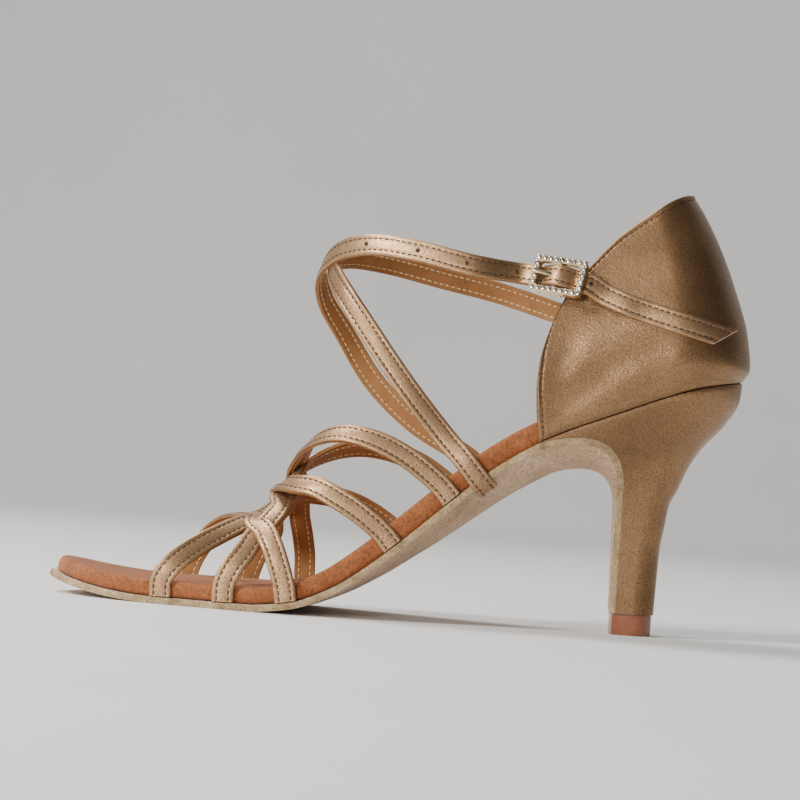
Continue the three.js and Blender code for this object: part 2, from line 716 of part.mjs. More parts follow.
// Centre line of a forefoot strap, from its outer root over the foot to its inner one
function vampRows(strap) {
  const count = 14;
  const base = 0.7 * INSOLE;
  const root = (at) => plainHalf(at) + 1.3 * CLEAR + STRAP_THICK / 2;
  const foot = (at, side, height) => ({
    point: solePlace(at, swing(at) + side * root(at), height),
    out: vec(side, 0, 0),
  });
  const rows = [foot(strap.outer, 1, -0.25 * INSOLE), foot(strap.outer, 1, 0.2 * INSOLE)];
  for (let k = 0; k <= count; k++) {
    const share = k / count;
    const turn = Math.PI * share;
    const at = mix(strap.outer, strap.inner, mix(share, (1 - Math.cos(turn)) / 2, 0.65));
    const lift = strap.layer * (STRAP_THICK - FUSE) * step(share, 0, 0.2) * step(1 - share, 0, 0.2);
    const across = Math.sign(Math.cos(turn)) * Math.abs(Math.cos(turn)) ** ROUNDNESS;
    const crown = INSTEP * sample(CROWN, 'rise', at) - base;
    const up = base + Math.abs(Math.sin(turn)) ** ROUNDNESS * (crown + lift);
    const point = solePlace(at, swing(at) + across * (root(at) + lift), up);
    const core = solePlace(at, swing(at), base);
    rows.push({ point, out: point.clone().sub(core).normalize() });
  }
  return [...rows, foot(strap.inner, -1, 0.2 * INSOLE), foot(strap.inner, -1, -0.25 * INSOLE)];
}

function vampStraps() {
  const solids = VAMP.map((strap) => ribbon(vampRows(strap), STRAP, STRAP_THICK, STRAP));
  const lattice = solids.reduce((whole, solid) => whole.add(solid));
  return lattice.subtract(groundCutter()).subtract(insole(CLEAR));
}

// A point of the ankle loop, with its outward direction from the leg's long core
function loopRow({ ahead, up, side }) {
  const y = TURN_Y - ahead * LOOP_REACH;
  const point = vec(side * LOOP_HALF, y, HEEL_HEIGHT + up * COUNTER_RISE);
  const core = vec(0, Math.max(y, TURN_Y - 0.66 * LOOP_REACH), point.z);
  const out = point.clone().sub(core).normalize();
  return { point, out: out.setZ(LOOP_TILT).normalize() };
}

// The strap round the sole's edge, through its slot and under the insole, out to the middle
function slotRows(side) {
  const at = SLOT_AT;
  const slope = seatSlope(at);
  const edge = halfWidth(at, edgeWidth(at));
  const mid = STRAP_THICK / 2 + CLEAR;
  const row = (x, height, outX, outUp) => ({
    point: solePlace(at, swing(at) + side * x, height),
    out: vec(side * outX, -outUp * Math.sin(slope), outUp * Math.cos(slope)).normalize(),
  });
  const drop = (x) => bottomDrop(at, swing(at) + x);
  const under = (x) => -CLEAR - OUTSOLE - drop(x) - mid;
  const slot = edge - SLOT_IN;
  const exit = slot - 0.5 * SLOT_IN;
  const [bend, flat] = [edge - 0.15 * SLOT_IN, edge - 0.53 * SLOT_IN];
  return [
    row(edge + mid, INSOLE, 1, 0),
    row(edge + mid, 0.2 * INSOLE, 1, 0),
    row(edge + 0.6 * mid, -0.75 * OUTSOLE, 1, -0.35),
    row(bend, under(bend) - 0.3 * CLEAR, 0.6, -1),
    row(flat, under(flat), 0.1, -1),
    row(slot, -CLEAR - OUTSOLE / 2 - drop(slot), -0.9, -1),
    row(exit, mid - drop(exit), -0.2, -1),
    row(0.5 * exit, mid - drop(0.5 * exit), 0, -1),
    row(0, mid - drop(0), 0, -1),
  ];
}

const BAR_DEEP = -(BUCKLE_DEPTH / 2 + PIN_SINK); // centre bar under the frame's middle plane

// The buckle's own frame: a along the strap to the rear, b up across it, c out from the counter
function buckleFrame() {
  const z = HEEL_HEIGHT + BUCKLE_RISE * COUNTER_RISE;
  const y = collarY(z) + TAB_SETBACK;
  const { point, out } = counterFace(1, y, z);
  out.add(vec(0, -BUCKLE_TURN, BUCKLE_TURN)).normalize();
  const along = vec(0, Math.cos(BUCKLE_DROP), -Math.sin(BUCKLE_DROP));
  along.addScaledVector(out, -along.dot(out)).normalize();
  const over = out.clone().cross(along).normalize();
  if (over.z < 0) over.negate();
  const lift = 4 * CLEAR + TAB_THICK + PIN_RADIUS - BAR_DEEP + 0.3 * BUCKLE_TURN * BUCKLE_LENGTH;
  const centre = point.clone().addScaledVector(along, -0.54 * BUCKLE_LENGTH).addScaledVector(out, lift);
  return { seat: point, centre, along, over, out };
}

const BUCKLE = buckleFrame();

function bucklePoint(a, b, c) {
  return BUCKLE.centre.clone()
    .addScaledVector(BUCKLE.along, a)
    .addScaledVector(BUCKLE.over, b)
    .addScaledVector(BUCKLE.out, c);
}

// The strap under the front bar, over the centre bar and under the rear bar
function buckleRows() {
  const under = -(BUCKLE_DEPTH / 2 + CLEAR + STRAP_THICK / 2);
  const bar = (BUCKLE_LENGTH - BUCKLE_BAR) / 2;
  const hump = BAR_DEEP + PIN_RADIUS + 3 * CLEAR + TAB_THICK + STRAP_THICK / 2;
  return [
    [-1.74 * bar, under - 1.3 * CLEAR], [-1.22 * bar, under - 0.8 * CLEAR],
    [-0.85 * bar, under - 0.7 * CLEAR], [-0.4 * bar, mix(under, hump, 0.62)],
    [0, hump], [0.4 * bar, mix(under, hump, 0.62)],
    [0.85 * bar, under - 0.7 * CLEAR], [1.22 * bar, under - 0.7 * CLEAR],
  ].map(([a, c]) => ({ point: bucklePoint(a, 0, c), out: BUCKLE.out.clone() }));
}

// The free end over the counter, falling from the tab onto the leather
function tailRows() {
  const rows = [];
  for (const share of [0.16, 0.3, 0.44, 0.58, 0.72, 0.85, 1]) {
    const reach = share * TAIL - 0.14 * BUCKLE_LENGTH;
    const y = BUCKLE.seat.y + reach * Math.cos(TAIL_DROP);
    const z = BUCKLE.seat.z - reach * Math.sin(TAIL_DROP) - TAIL_LOW * step(share, 0, 0.3);
    const { point, out } = counterFace(1, y, z);
    const onTab = 1 - step(reach, TAB_LENGTH, TAB_LENGTH + STRAP);
    const lift = 1.5 * CLEAR + STRAP_THICK / 2 + onTab * (TAB_THICK + CLEAR);
    rows.push({ point: point.addScaledVector(out, lift), out });
  }
  return rows;
}

// The strap end sewn onto the inner side of the counter
function joinRows() {
  const { up } = INNER_RUN.at(-1);
  return [0.06, 0.4, 0.72, 1].map((share) => {
    const z = HEEL_HEIGHT + (up - 0.1 - 0.06 * share) * COUNTER_RISE;
    const y = collarY(Math.max(z, SHOULDER_Z)) + share * JOIN;
    const { point, out } = counterFace(-1, y, z);
    return { point: point.addScaledVector(out, 1.3 * CLEAR + STRAP_THICK / 2), out };
  });
}

function ankleRows() {
  const innerSlot = slotRows(-1);
  const outerSlot = slotRows(1);
  return [
    ...joinRows().reverse(),
    ...INNER_RUN.map(loopRow).reverse(),
    ...outerSlot,
    ...innerSlot.slice(0, -1).reverse(),
    ...OUTER_RUN.map(loopRow).reverse(),
    ...buckleRows(),
    ...tailRows(),
  ];
}

// Placed solids of the buckle: its own a, b, c become the shoe's x, y, z
function placeBuckle(geometry) {
  const basis = new THREE.Matrix4().makeBasis(BUCKLE.along, BUCKLE.over, BUCKLE.out.clone());
  return solidFrom(geometry.applyMatrix4(basis.setPosition(BUCKLE.centre)));
}

function roundedPath(path, length, width, radius) {
  const [x, y] = [length / 2, width / 2];
  path.moveTo(-x + radius, -y).lineTo(x - radius, -y);
  path.absarc(x - radius, -y + radius, radius, -Math.PI / 2, 0);
  path.absarc(x - radius, y - radius, radius, 0, Math.PI / 2);
  path.absarc(-x + radius, y - radius, radius, Math.PI / 2, Math.PI);
  path.absarc(-x + radius, -y + radius, radius, Math.PI, 1.5 * Math.PI);
  return path;
}

function buckle() {
  const outline = roundedPath(new THREE.Shape(), BUCKLE_LENGTH, BUCKLE_WIDTH, BUCKLE_CORNER);
  const inner = [BUCKLE_LENGTH - 2 * BUCKLE_BAR, BUCKLE_WIDTH - 2 * BUCKLE_BAR];
  outline.holes.push(roundedPath(new THREE.Path(), ...inner, 0.4 * BUCKLE_CORNER));
  const shape = { depth: BUCKLE_DEPTH, bevelEnabled: false, curveSegments: 5 };
  const rim = new THREE.ExtrudeGeometry(outline, shape);
  rim.translate(0, 0, -BUCKLE_DEPTH / 2);
  const cheekHeight = PIN_RADIUS - BAR_DEEP;
  const parts = [-1, 1].map((side) => {
    const cheek = new THREE.BoxGeometry(4 * PIN_RADIUS, BUCKLE_BAR - CLEAR, cheekHeight);
    const y = side * (BUCKLE_WIDTH - BUCKLE_BAR) / 2;
    return placeBuckle(cheek.translate(0, y, -cheekHeight / 2));
  });
  const pin = new THREE.CylinderGeometry(PIN_RADIUS, PIN_RADIUS, BUCKLE_WIDTH - BUCKLE_BAR, 12);
  parts.push(placeBuckle(pin.translate(0, 0, BAR_DEEP)));
  return parts.reduce((whole, solid) => whole.add(solid), placeBuckle(rim));
}

// The prong: hooked round the centre bar, up through the strap and over the front bar
function prong(extra = 0) {
  const wrap = PIN_RADIUS + CLEAR + PRONG_RADIUS;
  const rest = BUCKLE_DEPTH / 2 + CLEAR + PRONG_RADIUS;
  const arc = [-80, -40, 0, 40, 80].map((degrees) => {
    const angle = degrees * Math.PI / 180;
    return bucklePoint(wrap * Math.cos(angle), 0, BAR_DEEP + wrap * Math.sin(angle));
  });
  const bar = (BUCKLE_LENGTH - BUCKLE_BAR) / 2;
  const points = [...arc, bucklePoint(-0.45 * bar, 0, mix(BAR_DEEP + wrap, rest, 0.62))];
  points.push(bucklePoint(-bar, 0, rest), bucklePoint(-bar - 0.45 * BUCKLE_BAR, 0, rest));
  const section = new THREE.Shape().absarc(0, 0, PRONG_RADIUS + extra, 0, 2 * Math.PI);
  const path = new THREE.CatmullRomCurve3(points);
  return solidFrom(new THREE.ExtrudeGeometry(section, { steps: 14, extrudePath: path, curveSegments: 8 }));
}

// The tab: on the counter, forward to the centre bar and once round it
function tab() {
  const reach = PIN_RADIUS + CLEAR + TAB_THICK / 2;
  const rows = [1, 0.6, 0.1].map((share) => {
    const y = BUCKLE.seat.y + share * TAB_LENGTH * Math.cos(BUCKLE_DROP);
    const z = BUCKLE.seat.z - share * TAB_LENGTH * Math.sin(BUCKLE_DROP);
    const { point, out } = counterFace(1, y, z);
    return { point: point.addScaledVector(out, 1.3 * CLEAR + TAB_THICK / 2), out };
  });
  for (const degrees of [270, 225, 180, 135, 90]) {
    const angle = degrees * Math.PI / 180;
    const out = BUCKLE.along.clone().multiplyScalar(Math.cos(angle));
    out.addScaledVector(BUCKLE.out, Math.sin(angle));
    const point = bucklePoint(reach * Math.cos(angle), 0, BAR_DEEP + reach * Math.sin(angle));
    rows.push({ point, out: out.negate() });
  }
  return ribbon(rows, TAB_WIDTH, TAB_THICK, TAB_WIDTH / 2);
}

const LEATHER = { color: 0x96734f, roughness: 0.42, metalness: 0.55 };
const SUEDE = { color: 0xb39880, roughness: 0.95, metalness: 0 };
const MICROFIBRE = { color: 0xb9643a, roughness: 0.9, metalness: 0 };
const PLASTIC = { color: 0x96553a, roughness: 0.25, metalness: 0 };
const GOLD = { color: 0xd8c49a, roughness: 0.25, metalness: 1 };

const shoe = new THREE.Group();

function addPiece(name, solid, look) {
  const { vertProperties, triVerts } = solid.getMesh();
  const geometry = new THREE.BufferGeometry();
  geometry.setAttribute('position', new THREE.BufferAttribute(vertProperties, 3));
  geometry.setIndex(new THREE.BufferAttribute(triVerts, 1));
  geometry.computeVertexNormals();
  const mesh = new THREE.Mesh(geometry, new THREE.MeshStandardMaterial(look));
  mesh.name = name;
  shoe.add(mesh);
}

const strapChannel = ribbon(ankleRows(), STRAP + 2 * CLEAR, STRAP_THICK + 2 * CLEAR, LOOP_STEP);
const ankleStrap = ribbon(ankleRows(), STRAP, STRAP_THICK, LOOP_STEP, TIP_SLANT);
const prongHole = prong(CLEAR);

addPiece('insole', insole().subtract(strapChannel), MICROFIBRE);
addPiece('outsole', outsole().subtract(strapChannel), SUEDE);
addPiece('heel', heel(), LEATHER);
addPiece('heel_tip', heelTip(), PLASTIC);
addPiece('counter', counter(), LEATHER);
addPiece('vamp_straps', vampStraps(), LEATHER);
addPiece('ankle_strap', ankleStrap.subtract(prongHole), LEATHER);
addPiece('buckle_tab', tab().subtract(prongHole), LEATHER);
addPiece('buckle_frame', buckle(), GOLD);
addPiece('buckle_prong', prong(), GOLD);

// The origin goes under the middle of the whole box
const box = new THREE.Box3().setFromObject(shoe);
const middle = box.getCenter(vec());
shoe.position.set(-middle.x, -middle.y, -box.min.z);
shoe.updateMatrixWorld(true);

export default shoe;
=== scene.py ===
import bmesh
import bpy
import random
from math import acos, atan2, copysign, cos, exp, pi, radians, sin, sqrt
from mathutils import Matrix, Vector
from mathutils.geometry import interpolate_bezier


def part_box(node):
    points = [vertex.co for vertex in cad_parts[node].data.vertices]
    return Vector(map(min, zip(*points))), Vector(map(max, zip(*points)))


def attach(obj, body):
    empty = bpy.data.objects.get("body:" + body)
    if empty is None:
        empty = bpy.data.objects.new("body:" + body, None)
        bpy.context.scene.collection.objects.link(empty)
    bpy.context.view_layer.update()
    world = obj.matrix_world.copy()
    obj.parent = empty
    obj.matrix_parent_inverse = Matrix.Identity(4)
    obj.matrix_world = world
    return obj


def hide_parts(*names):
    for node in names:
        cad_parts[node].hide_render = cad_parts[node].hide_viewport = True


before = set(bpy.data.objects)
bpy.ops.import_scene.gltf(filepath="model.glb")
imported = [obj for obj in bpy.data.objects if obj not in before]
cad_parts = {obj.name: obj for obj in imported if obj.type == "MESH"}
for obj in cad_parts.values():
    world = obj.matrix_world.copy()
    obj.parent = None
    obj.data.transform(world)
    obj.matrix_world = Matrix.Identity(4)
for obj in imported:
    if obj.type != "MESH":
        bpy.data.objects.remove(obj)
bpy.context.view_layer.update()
random.seed(7)
scene = bpy.context.scene

# Sizes in millimetres, the same as in the CAD
LENGTH, BALL_WIDTH, HEEL_WIDTH = 221.5, 76, 48
TOE_ROUND, HEEL_ROUND, TOE_SPRING = 34, 24, 5
HEEL_HEIGHT, OUTSOLE, INSOLE, SEAM_INSET, EDGE, CLEAR = 86, 2.2, 7.6, 0.6, 1.2, 0.3
BREAST_SETBACK, TIP_DEPTH, TIP_HEIGHT, TIP_INSET, TIP_AHEAD, TIP_BOW = 36.5, 12.4, 7, 0.5, 1, 1.1
BREAST_RADIUS, TURN_EASE = 12, radians(8)
WALL, COUNTER_RISE, COUNTER_LEAN, COLLAR_ROUND, COUNTER_BACKSET = 2, 60, 20.4, 17, 1.6
STRAP, STRAP_THICK, INSTEP, ROUNDNESS, FUSE = 7.2, 1.6, 50, 2 / 2.4, 0.25
LOOP_REACH, LOOP_HALF, LOOP_TILT, SLOT_AT, SLOT_IN = 76, 26, 0.25, 0.632, 6
TIP_SLANT, TAIL, JOIN = 9.1, 47.5, 19
BUCKLE_LENGTH, BUCKLE_WIDTH, BUCKLE_BAR, BUCKLE_DEPTH, BUCKLE_CORNER = 18, 12.8, 2.2, 2.2, 2.4
PIN_RADIUS, PIN_SINK, PRONG_RADIUS = 0.8, 1.5, 0.55
TAB_THICK, TAB_WIDTH, TAB_LENGTH, TAB_SETBACK = 0.8, 5.4, 11, 6
BUCKLE_RISE, BUCKLE_DROP, BUCKLE_TURN = 0.44, radians(10.5), 0.14
TAIL_DROP, TAIL_LOW = radians(14), 2.1
RIM = WALL + CLEAR
SEAT_BACK = LENGTH / 2 + RIM
TURN_AT = (1 - cos(pi * 23 / 36)) / 2
BAR_AT, SIDE_AT = (BUCKLE_LENGTH - BUCKLE_BAR) / 2, (BUCKLE_WIDTH - BUCKLE_BAR) / 2

# Sizes of what only the picture shows, in millimetres
MM = 0.001  # one in metres
STITCH, COUNTER_STITCH = (1.5, 2.1, 0.25), (1.4, 2.0, 0.18)  # length, pitch, radius
SEAM, EDGE_SEAM = 0.54, 1.2  # share of a strap's half width, and distance from the counter's edge
STITCH_FACES = (0.45, -0.47)  # height of the stitches, share of a strap's thickness
TOUCH = -0.05  # the suede is glued to the heel, so no light comes through
FIBRES, FIBRE_FLOOR = 24, 0.06  # loose fibres for each mm of edge, and their lowest height
COUNTER_RUN, COUNTER_HIGH = 66, 48  # the counter's face, where the creases are placed
HOLES = (-60.5, -42, -24.8, -7.7, 19.6)  # along the strap from the buckle's front bar
HOLE_RIM = [(0.95, -0.04), (0.85, 0.05), (0.72, 0.03), (0.66, -0.05)]  # radius, high
# The disc in each hole is near-black painted shade: radius, high
HOLE_SHADE_DISC = [(0.7, -0.02), (0.66, 0.015)]
STONE_RINGS = [(0.0, 0.92, 0), (0.2, 0.92, 0), (0.4, 0.72, pi / 8), (0.52, 0.4, 0)]  # high, radius, turn
CLAW_RINGS = [(-0.1, 0.2), (0.34, 0.2), (0.45, 0.1)]  # high, radius
CLAW_OUT = 0.86
PRONG_WIDE, PRONG_HIGH = 0.75, 0.5

# Tables of shares, the same as in the CAD; the first column is the place
OUTLINE = [  # at, ball, heel, swing
    (0, .74, 0, -.07), (.13, .87, 0, -.05), (.22, .95, 0, -.025), (.32, 1, 0, 0), (.42, .91, 0, .03),
    (.53, .35, .59, .05), (.64, 0, .95, .04), (.73, 0, .93, .02), (.84, 0, .99, 0), (1, 0, 1, 0),
]
ARCH = [
    (.32, 0), (.374, .021), (.428, .081), (.482, .18), (.536, .302), (.604, .465), (.658, .585),
    (.71, .674), (.753, .731), (.83, .815), (.905, .894), (.965, .943), (1.03, .975),
]
BOTTOM = [  # at, camber, padding
    (0, 0, .66), (.32, 0, .68), (.42, .025, .78), (.5, .07, .88), (.6, .135, .96), (.71, .17, 1),
    (.8, .11, .97), (.88, .06, .92), (.95, .02, .88), (1, 0, .86),
]
HEEL_BACK = [
    (0, 1), (.2, .984), (.327, .972), (.423, .928), (.507, .884), (.566, .788), (.658, .656),
    (.734, .492), (.827, .212), (.93, .02), (1, 0),
]
TAPER = [
    (0, 1), (.035, .935), (.09, .81), (.165, .65), (.235, .5), (.34, .375), (.45, .31), (.6, .28),
    (.93, .262),
]
COUNTER_BACK = [(0, 0), (.07, -.1), (.262, -.02), (.46, .176), (.684, .451), (.889, .775), (1, 1)]
TOP_LINE = [(0, 1), (.09, .973), (.424, .805), (.563, .72), (.71, .6), (.93, .392), (1, .273)]
FRONT_EDGE = [(0, 0), (.257, .028), (.46, .043), (.67, .033), (.863, -.002), (1, -.042)]
SWELL = [(0, 1), (.1, 1.07), (.25, 1.13), (.45, 1.11), (.7, .99), (1, .82)]
VAMP = [  # outer root, inner root, layer
    (.5955, .3675, 1), (.5155, .2745, 1), (.3675, .18, 1), (.2745, .5955, 0), (.18, .5155, 0),
]
CROWN = [(.18, .4), (.275, .52), (.368, .66), (.43, .75), (.516, .88), (.596, 1)]
OUTER_RUN = [  # ahead, up, side
    (.31, .515, 1.09), (.565, .575, .97), (.78, .597, .71), (.925, .55, .35), (1, .44, -.06),
    (.985, .3, -.4), (.895, .12, -.66), (.749, -.14, -.84), (.56, -.35, -.9),
]
INNER_RUN = [
    (.388, -.42, 1), (.563, -.17, 1), (.747, .12, .9), (.867, .315, .7), (.925, .42, .42),
    (.945, .5, .06), (.88, .54, -.32), (.72, .53, -.68), (.48, .475, -.94), (.22, .415, -1.08),
]


def mix(a, b, t):
    return a + (b - a) * t


def clamp(x, low=0.0, high=1.0):
    return min(max(x, low), high)


def step(x, low, high):
    t = clamp((x - low) / (high - low))
    return t * t * (3 - 2 * t)


def sample(table, column, at):
    """A smooth value from a table, the same as in the CAD."""
    last = len(table) - 1
    if at <= table[0][0]:
        return table[0][column]
    if at >= table[last][0]:
        return table[last][column]

    def rise(i):
        return (table[i + 1][column] - table[i][column]) / (table[i + 1][0] - table[i][0])

    def slope(i):
        if i == 0:
            return rise(0)
        if i == last:
            return rise(last - 1)
        a, b = rise(i - 1), rise(i)
        return 0 if a * b <= 0 else 2 * a * b / (a + b)

    i = 0
    while at > table[i + 1][0]:
        i += 1
    gap = table[i + 1][0] - table[i][0]
    t = (at - table[i][0]) / gap
    u = 1 - t
    return (u * u * (1 + 2 * t) * table[i][column] + t * t * (1 + 2 * u) * table[i + 1][column]
            + gap * t * u * (u * slope(i) - t * slope(i + 1)))


def round_end(share):
    t = clamp(share)
    return sqrt(max(0, 1 - (1 - t) ** 2))


def along_y(at):
    return (at - 0.5) * LENGTH


def place_of(y):
    return y / LENGTH + 0.5


def swing(at):
    return sample(OUTLINE, 3, at) * BALL_WIDTH


def plain_half(at):
    return (sample(OUTLINE, 1, at) * BALL_WIDTH + sample(OUTLINE, 2, at) * HEEL_WIDTH) / 2


def half_width(at, margin):
    toe = (at * LENGTH + margin) / (TOE_ROUND + margin)
    back = ((1 - at) * LENGTH + margin) / (HEEL_ROUND + margin)
    return (plain_half(at) + margin) * round_end(toe) * round_end(back)


def seat_height(at):
    lift = max(0, 1 - at / 0.17)
    return OUTSOLE + CLEAR + TOE_SPRING * lift * lift + HEEL_HEIGHT * sample(ARCH, 1, at)


def seat_slope(at):
    return atan2(seat_height(at + 0.004) - seat_height(at - 0.004), 0.008 * LENGTH)


def bottom_drop(at, x):
    share = (x - swing(at)) / plain_half(at)
    return sample(BOTTOM, 1, at) * HEEL_WIDTH * max(0, 1 - share * share)


def sole_place(at, x, height):
    slope = seat_slope(at)
    return Vector((x, along_y(at) - height * sin(slope), seat_height(at) + height * cos(slope)))


def sole_point(section, margin, share, height, dome=1):
    at = section + margin * (2 * section - 1) / LENGTH
    x = swing(at) + share * half_width(at, margin)
    return sole_place(at, x, height - dome * bottom_drop(at, x))


def edge_width(at):
    bulge = max(exp(-(((at - row[0]) / 0.022) ** 2)) for row in VAMP)
    strap_edge = mix(EDGE, STRAP_THICK + CLEAR, bulge)
    return mix(strap_edge, RIM, step(at, SLOT_AT + 0.02, TURN_AT))


def heel_half(y, z):
    at = place_of(y)
    return (plain_half(at) + RIM) * sample(TAPER, 1, (seat_height(at) - z) / HEEL_HEIGHT)


def heel_back_y(z):
    return SEAT_BACK - sample(HEEL_BACK, 1, z / HEEL_HEIGHT) * (BREAST_SETBACK - TIP_DEPTH)


def heel_flank(y, z):
    """Half width of the covered heel at a side point."""
    deep = (HEEL_ROUND + RIM) * sample(TAPER, 1, (HEEL_HEIGHT - z) / HEEL_HEIGHT)
    return heel_half(y, z) * round_end((heel_back_y(z) - y) / deep)


def breast_line(drop, ahead, foot):
    """Side line of the sole's upper face from the waist down the heel's breast, as points."""
    breast = SEAT_BACK - BREAST_SETBACK
    slope = seat_slope(TURN_AT) - TURN_EASE
    start = sole_place(TURN_AT, 0, -CLEAR - drop)
    lean = 0.5 * (breast - start.y)
    reach = start.z - BREAST_RADIUS + foot
    end = Vector((0, breast - ahead, reach - foot))
    bend = interpolate_bezier(
        start, start + Vector((0, lean * cos(slope), lean * sin(slope))),
        Vector((0, breast - ahead, reach + BREAST_RADIUS)), end, 25)
    foot_point = Vector((0, breast - 0.25 * ahead, TIP_HEIGHT))
    return bend + [end.lerp(foot_point, k / 16) for k in range(1, 17)]


def counter_back_y(z):
    return SEAT_BACK - COUNTER_LEAN * sample(COUNTER_BACK, 1, (z - HEEL_HEIGHT) / COUNTER_RISE)


def counter_half(y, z):
    at = place_of(y)
    high = (z - seat_height(at)) / COUNTER_RISE
    deep = mix(HEEL_ROUND + RIM, COLLAR_ROUND, max(0, (z - HEEL_HEIGHT) / COUNTER_RISE))
    return (plain_half(at) + RIM) * sample(SWELL, 1, high) * round_end((counter_back_y(z) - y) / deep)


TURN_Y = along_y(TURN_AT)
FRONT_Y = TURN_Y + COUNTER_BACKSET
SHOULDER_Y = FRONT_Y - FRONT_EDGE[-1][1] * HEEL_WIDTH
SHOULDER_Z = HEEL_HEIGHT + TOP_LINE[-1][1] * COUNTER_RISE
PEAK_Y = counter_back_y(HEEL_HEIGHT + COUNTER_RISE)


def lower_edge(share):
    y = mix(SEAT_BACK, FRONT_Y, share)
    return Vector((y, seat_height(place_of(y))))


def top_line(share):
    return Vector((mix(PEAK_Y, SHOULDER_Y, share), HEEL_HEIGHT + sample(TOP_LINE, 1, share) * COUNTER_RISE))


def back_edge(share):
    z = mix(seat_height(place_of(SEAT_BACK)), HEEL_HEIGHT + COUNTER_RISE, share)
    return Vector((counter_back_y(z), z))


def front_edge(share):
    z = mix(seat_height(place_of(FRONT_Y)), SHOULDER_Z, share)
    return Vector((FRONT_Y - sample(FRONT_EDGE, 1, share) * HEEL_WIDTH, z))


def patch(bottom, top, back, front, forward, up):
    """A side point between four edges, each a function of a share."""
    p = bottom(forward) * (1 - up) + top(forward) * up + back(up) * (1 - forward) + front(up) * forward
    p -= bottom(0) * ((1 - forward) * (1 - up)) + bottom(1) * (forward * (1 - up))
    return p - top(0) * ((1 - forward) * up) - top(1) * (forward * up)


def counter_point(side, forward, up):
    p = patch(lower_edge, top_line, back_edge, front_edge, forward, up)
    half = 0 if forward == 0 else counter_half(p.x, p.y)
    return Vector((swing(place_of(p.x)) + side * half, p.x, p.y))


def counter_face(side, y, z):
    def at(py, pz):
        return Vector((swing(place_of(py)) + side * counter_half(py, pz), py, pz))
    along = at(y + 1, z) - at(y - 1, z)
    up = at(y, z + 1) - at(y, z - 1)
    out = along.cross(up).normalized()
    if out.x * side < 0:
        out.negate()
    return at(y, z), out


def collar_y(z):
    low, high = 0.0, 1.0
    for _ in range(24):
        middle = (low + high) / 2
        if top_line(middle).y > z:
            low = middle
        else:
            high = middle
    return top_line(low).x


# Curves through points, worked out as the CAD's own curves are

def hermite(p1, p2, t1, t2, t):
    return p1 + t1 * t + (-3 * p1 + 3 * p2 - 2 * t1 - t2) * t * t + (2 * p1 - 2 * p2 + t1 + t2) * t ** 3


def spline(knots, spacing):
    """Rows of (point, tangent, out) along a centripetal curve through (point, aim) pairs."""
    def centripetal(p0, p1, p2, p3, t):
        d0 = max((p1 - p0).length ** 0.5, 1e-4)
        d1 = max((p2 - p1).length ** 0.5, 1e-4)
        d2 = max((p3 - p2).length ** 0.5, 1e-4)
        t1 = ((p1 - p0) / d0 - (p2 - p0) / (d0 + d1) + (p2 - p1) / d1) * d1
        t2 = ((p2 - p1) / d1 - (p3 - p1) / (d1 + d2) + (p3 - p2) / d2) * d1
        return hermite(p1, p2, t1, t2, t)

    def uniform(p0, p1, p2, p3, t):
        t1, t2 = (p2 - p0) / 2, (p3 - p1) / 2
        return hermite(p1, p2, t1, t2, t)

    def padded(items):
        return [2 * items[0] - items[1]] + list(items) + [2 * items[-1] - items[-2]]

    p, a = padded([knot[0] for knot in knots]), padded([10 * knot[1] for knot in knots])
    rows = []
    for i in range(1, len(p) - 2):
        steps = max(1, round((p[i + 1] - p[i]).length / spacing))
        for k in range(0 if i == 1 else 1, steps + 1):
            t = k / steps
            point = centripetal(*p[i - 1:i + 3], t)
            aim = uniform(*a[i - 1:i + 3], t)
            rows.append([point, None, aim])
    for i, row in enumerate(rows):
        row[1] = (rows[min(i + 1, len(rows) - 1)][0] - rows[max(i - 1, 0)][0]).normalized()
        row[2] = (row[2] - row[1] * row[2].dot(row[1])).normalized()
    return rows


OFFSET = Vector((0, 0, 0))


def place_all():
    """Finds where the CAD's own centring moved the shoe, from the heel tip's box."""
    low, high = [[v / MM for v in corner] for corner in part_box("heel_tip")][:2]
    OFFSET.x = (low[0] + high[0]) / 2
    OFFSET.y = high[1] - (heel_back_y(TIP_HEIGHT) - TIP_INSET)


place_all()


def to_metres(p):
    return (p + OFFSET) * MM


# Building pieces

def piece(name, points, faces, looks, marks=None, smooth=True, node=None, slot="metallic_leather",
          flip=False, sharp=None):
    """One mesh from points in mm; flip turns its faces outwards, sharp is in degrees."""
    mesh = bpy.data.meshes.new(name)
    mesh.from_pydata([to_metres(p) for p in points], [], faces)
    for material in looks:
        mesh.materials.append(material)
    if marks:
        mesh.polygons.foreach_set("material_index", marks)
    mesh.polygons.foreach_set("use_smooth", [smooth] * len(mesh.polygons))
    mesh.validate()
    obj = bpy.data.objects.new(name, mesh)
    scene.collection.objects.link(obj)
    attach(obj, "root")
    if node:
        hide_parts(node)
    if flip:
        work = bmesh.new()
        work.from_mesh(mesh)
        bmesh.ops.remove_doubles(work, verts=work.verts, dist=1e-7)
        bmesh.ops.recalc_face_normals(work, faces=work.faces)
        work.to_mesh(mesh)
        work.free()
    if sharp:
        mesh.set_sharp_from_angle(angle=radians(sharp))
    return obj


def loft(rings, closed=True, caps=True):
    """Points and faces through rings of equal length."""
    size = len(rings[0])
    points = [p for ring in rings for p in ring]
    faces = []
    for r in range(len(rings) - 1):
        for k in range(size if closed else size - 1):
            n = (k + 1) % size
            faces.append((r * size + k, r * size + n, (r + 1) * size + n, (r + 1) * size + k))
    if caps:
        end = (len(rings) - 1) * size
        faces.append(tuple(reversed(range(size))))
        faces.append(tuple(end + k for k in range(size)))
    return points, faces


def merge(parts):
    """Joins several (points, faces) into one."""
    points, faces = [], []
    for more, polygons in parts:
        base = len(points)
        points += more
        faces += [tuple(base + k for k in polygon) for polygon in polygons]
    return points, faces


